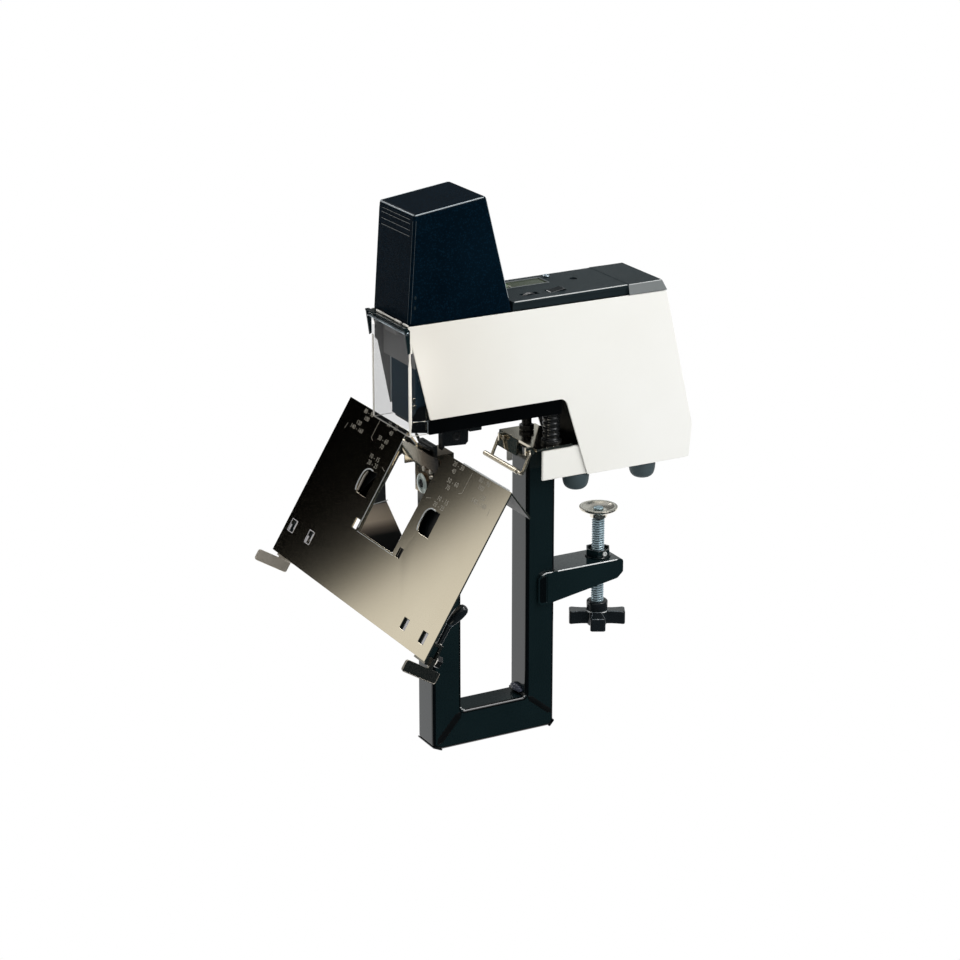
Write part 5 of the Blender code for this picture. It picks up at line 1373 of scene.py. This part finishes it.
# rear-left card: dim, brighter at its right-hand end
HB = Vector((-0.88, 0.475, 0)); TB = Vector((0.475, 0.88, 0))
rear_mat = emit_mat("rear_card", (0.95, 1.0, 1.0), 1.0, lambda nt, em: logistic(nt, em, (TB.x, TB.y, 0), 0.30, 0.05, 0.13, 0.5, None))
plane("rear_card", tuple(HB * 2.0 + Vector((0, 0, 0.75))), tuple(TB), (0, 0, 1), 1.2, 0.75, rear_mat)

# low bright card in front of it: the clamp arm's top mirrors it
low_mat = emit_mat("rear_low_card", (0.95, 1.0, 1.0), 1.0, lambda nt, em: logistic(nt, em, (TB.x, TB.y, 0), 0.006, 0.006, 0.14, 0.85, None))
plane("rear_low_card", tuple(HB * 1.98 + Vector((0, 0, 0.35))), tuple(TB), (0, 0, 1), 0.20, 0.33, low_mat)

# dark card on the floor, seen only in gloss: it takes the white floor out of the right-hand and front reflections
flag_mat = emit_mat("dark_flag", (0.55, 0.85, 1.0), 0.035)


def poly_card(name, pts, z, mat):
    me = bpy.data.meshes.new(name)
    me.from_pydata([(x, y, z) for x, y in pts], [], [tuple(range(len(pts)))])
    me.materials.append(mat)
    ob = bpy.data.objects.new(name, me)
    scene.collection.objects.link(ob)
    ob.visible_camera = False
    ob.visible_glossy = True
    ob.visible_diffuse = False
    ob.visible_shadow = False
    ob.visible_transmission = False
    return ob


poly_card("dark_floor_right", [(0.0165, 2.2), (0.0165, -0.30), (-0.10, -0.52), (-0.62, -0.46), (-3.2, -1.0), (-3.2, -3.4), (3.2, -3.4), (3.2, 2.2)], FLOOR_Z + 0.0006, flag_mat)
plane("dark_flag_far", (2.2 * 0.88, 2.2 * 0.475, -0.05), (-0.475, 0.88, 0), (0, 0, 1), 2.0, 0.20, flag_mat)

def soft(name, loc, target, sx, sy, radiance, colour=(1, 1, 1), spread=180):
    li = bpy.data.lights.new(name, "AREA")
    li.shape = "RECTANGLE"
    li.size, li.size_y = sx, sy
    li.energy = radiance * math.pi * sx * sy
    li.color = colour
    li.spread = math.radians(spread)
    ob = bpy.data.objects.new(name, li)
    scene.collection.objects.link(ob)
    ob.location = loc
    d = Vector(target) - Vector(loc)
    ob.rotation_euler = d.to_track_quat("-Z", "Y").to_euler()
    ob.visible_camera = False
    return ob


soft("right_box", (1.35, 0.62, 1.10), (0, -0.02, 0.02), 1.3, 0.8, 3.3)
soft("edge_box", (0.325 * 1.9, 0.45 * 1.9 - 0.12, 0.833 * 1.9), (0, -0.1, 0.0), 0.55, 0.55, 12.0)
soft("left_box", (-1.45, -0.30, 1.10), (0, -0.05, 0.1), 0.7, 0.32, 7.0)
soft("top_box", (0.0, -0.1, 1.9), (0, 0, 0), 1.2, 1.2, 0.6)
soft("rear_box", (1.2, 1.4, 0.7), (0, 0.1, 0.1), 0.8, 0.6, 1.6)

# a narrow snoot that reaches in behind the clear guard
sp_ = bpy.data.lights.new("guard_snoot", "SPOT")
sp_.energy = 110.0
sp_.spot_size = math.radians(2.0)
sp_.spot_blend = 0.5
sp_.shadow_soft_size = 0.04
so = bpy.data.objects.new("guard_snoot", sp_)
scene.collection.objects.link(so)
so.location = (1.6, -1.2, 0.2)
so.rotation_euler = (Vector((-0.030, -0.150, 0.126)) - Vector((1.6, -1.2, 0.2))).to_track_quat("-Z", "Y").to_euler()
so.visible_camera = False
so.visible_glossy = False

world = bpy.data.worlds.new("studio")
scene.world = world
world.use_nodes = True
wn = world.node_tree
bg = wn.nodes["Background"]
tc = wn.nodes.new("ShaderNodeTexCoord")
sx = wn.nodes.new("ShaderNodeSeparateXYZ")
wn.links.new(tc.outputs["Generated"], sx.inputs[0])
rp = wn.nodes.new("ShaderNodeValToRGB")
rp.color_ramp.elements[0].position = 0.0
rp.color_ramp.elements[0].color = (0.16, 0.165, 0.17, 1)
rp.color_ramp.elements[1].position = 0.8
rp.color_ramp.elements[1].color = (0.42, 0.43, 0.44, 1)
wn.links.new(sx.outputs["Z"], rp.inputs["Fac"])
wn.links.new(rp.outputs["Color"], bg.inputs["Color"])
bg.inputs["Strength"].default_value = 1.0

cam = bpy.data.cameras.new("camera")
cam.lens = 102.59
cam.sensor_width = 36.0
cam.sensor_fit = "HORIZONTAL"
cam.clip_start = 0.05
cam.clip_end = 100.0
co = bpy.data.objects.new("camera", cam)
scene.collection.objects.link(co)
A_, E_ = math.radians(61.61), math.radians(18.93)
right = Vector((math.cos(A_), math.sin(A_), 0))
fwd = Vector((-math.sin(A_) * math.cos(E_), math.cos(A_) * math.cos(E_), -math.sin(E_)))
up = right.cross(fwd)
rot = Matrix((right, up, -fwd)).transposed().to_4x4()
co.matrix_world = Matrix.Translation((2.05788, -1.18267, 0.81714)) @ rot
scene.camera = co

bpy.context.view_layer.update()
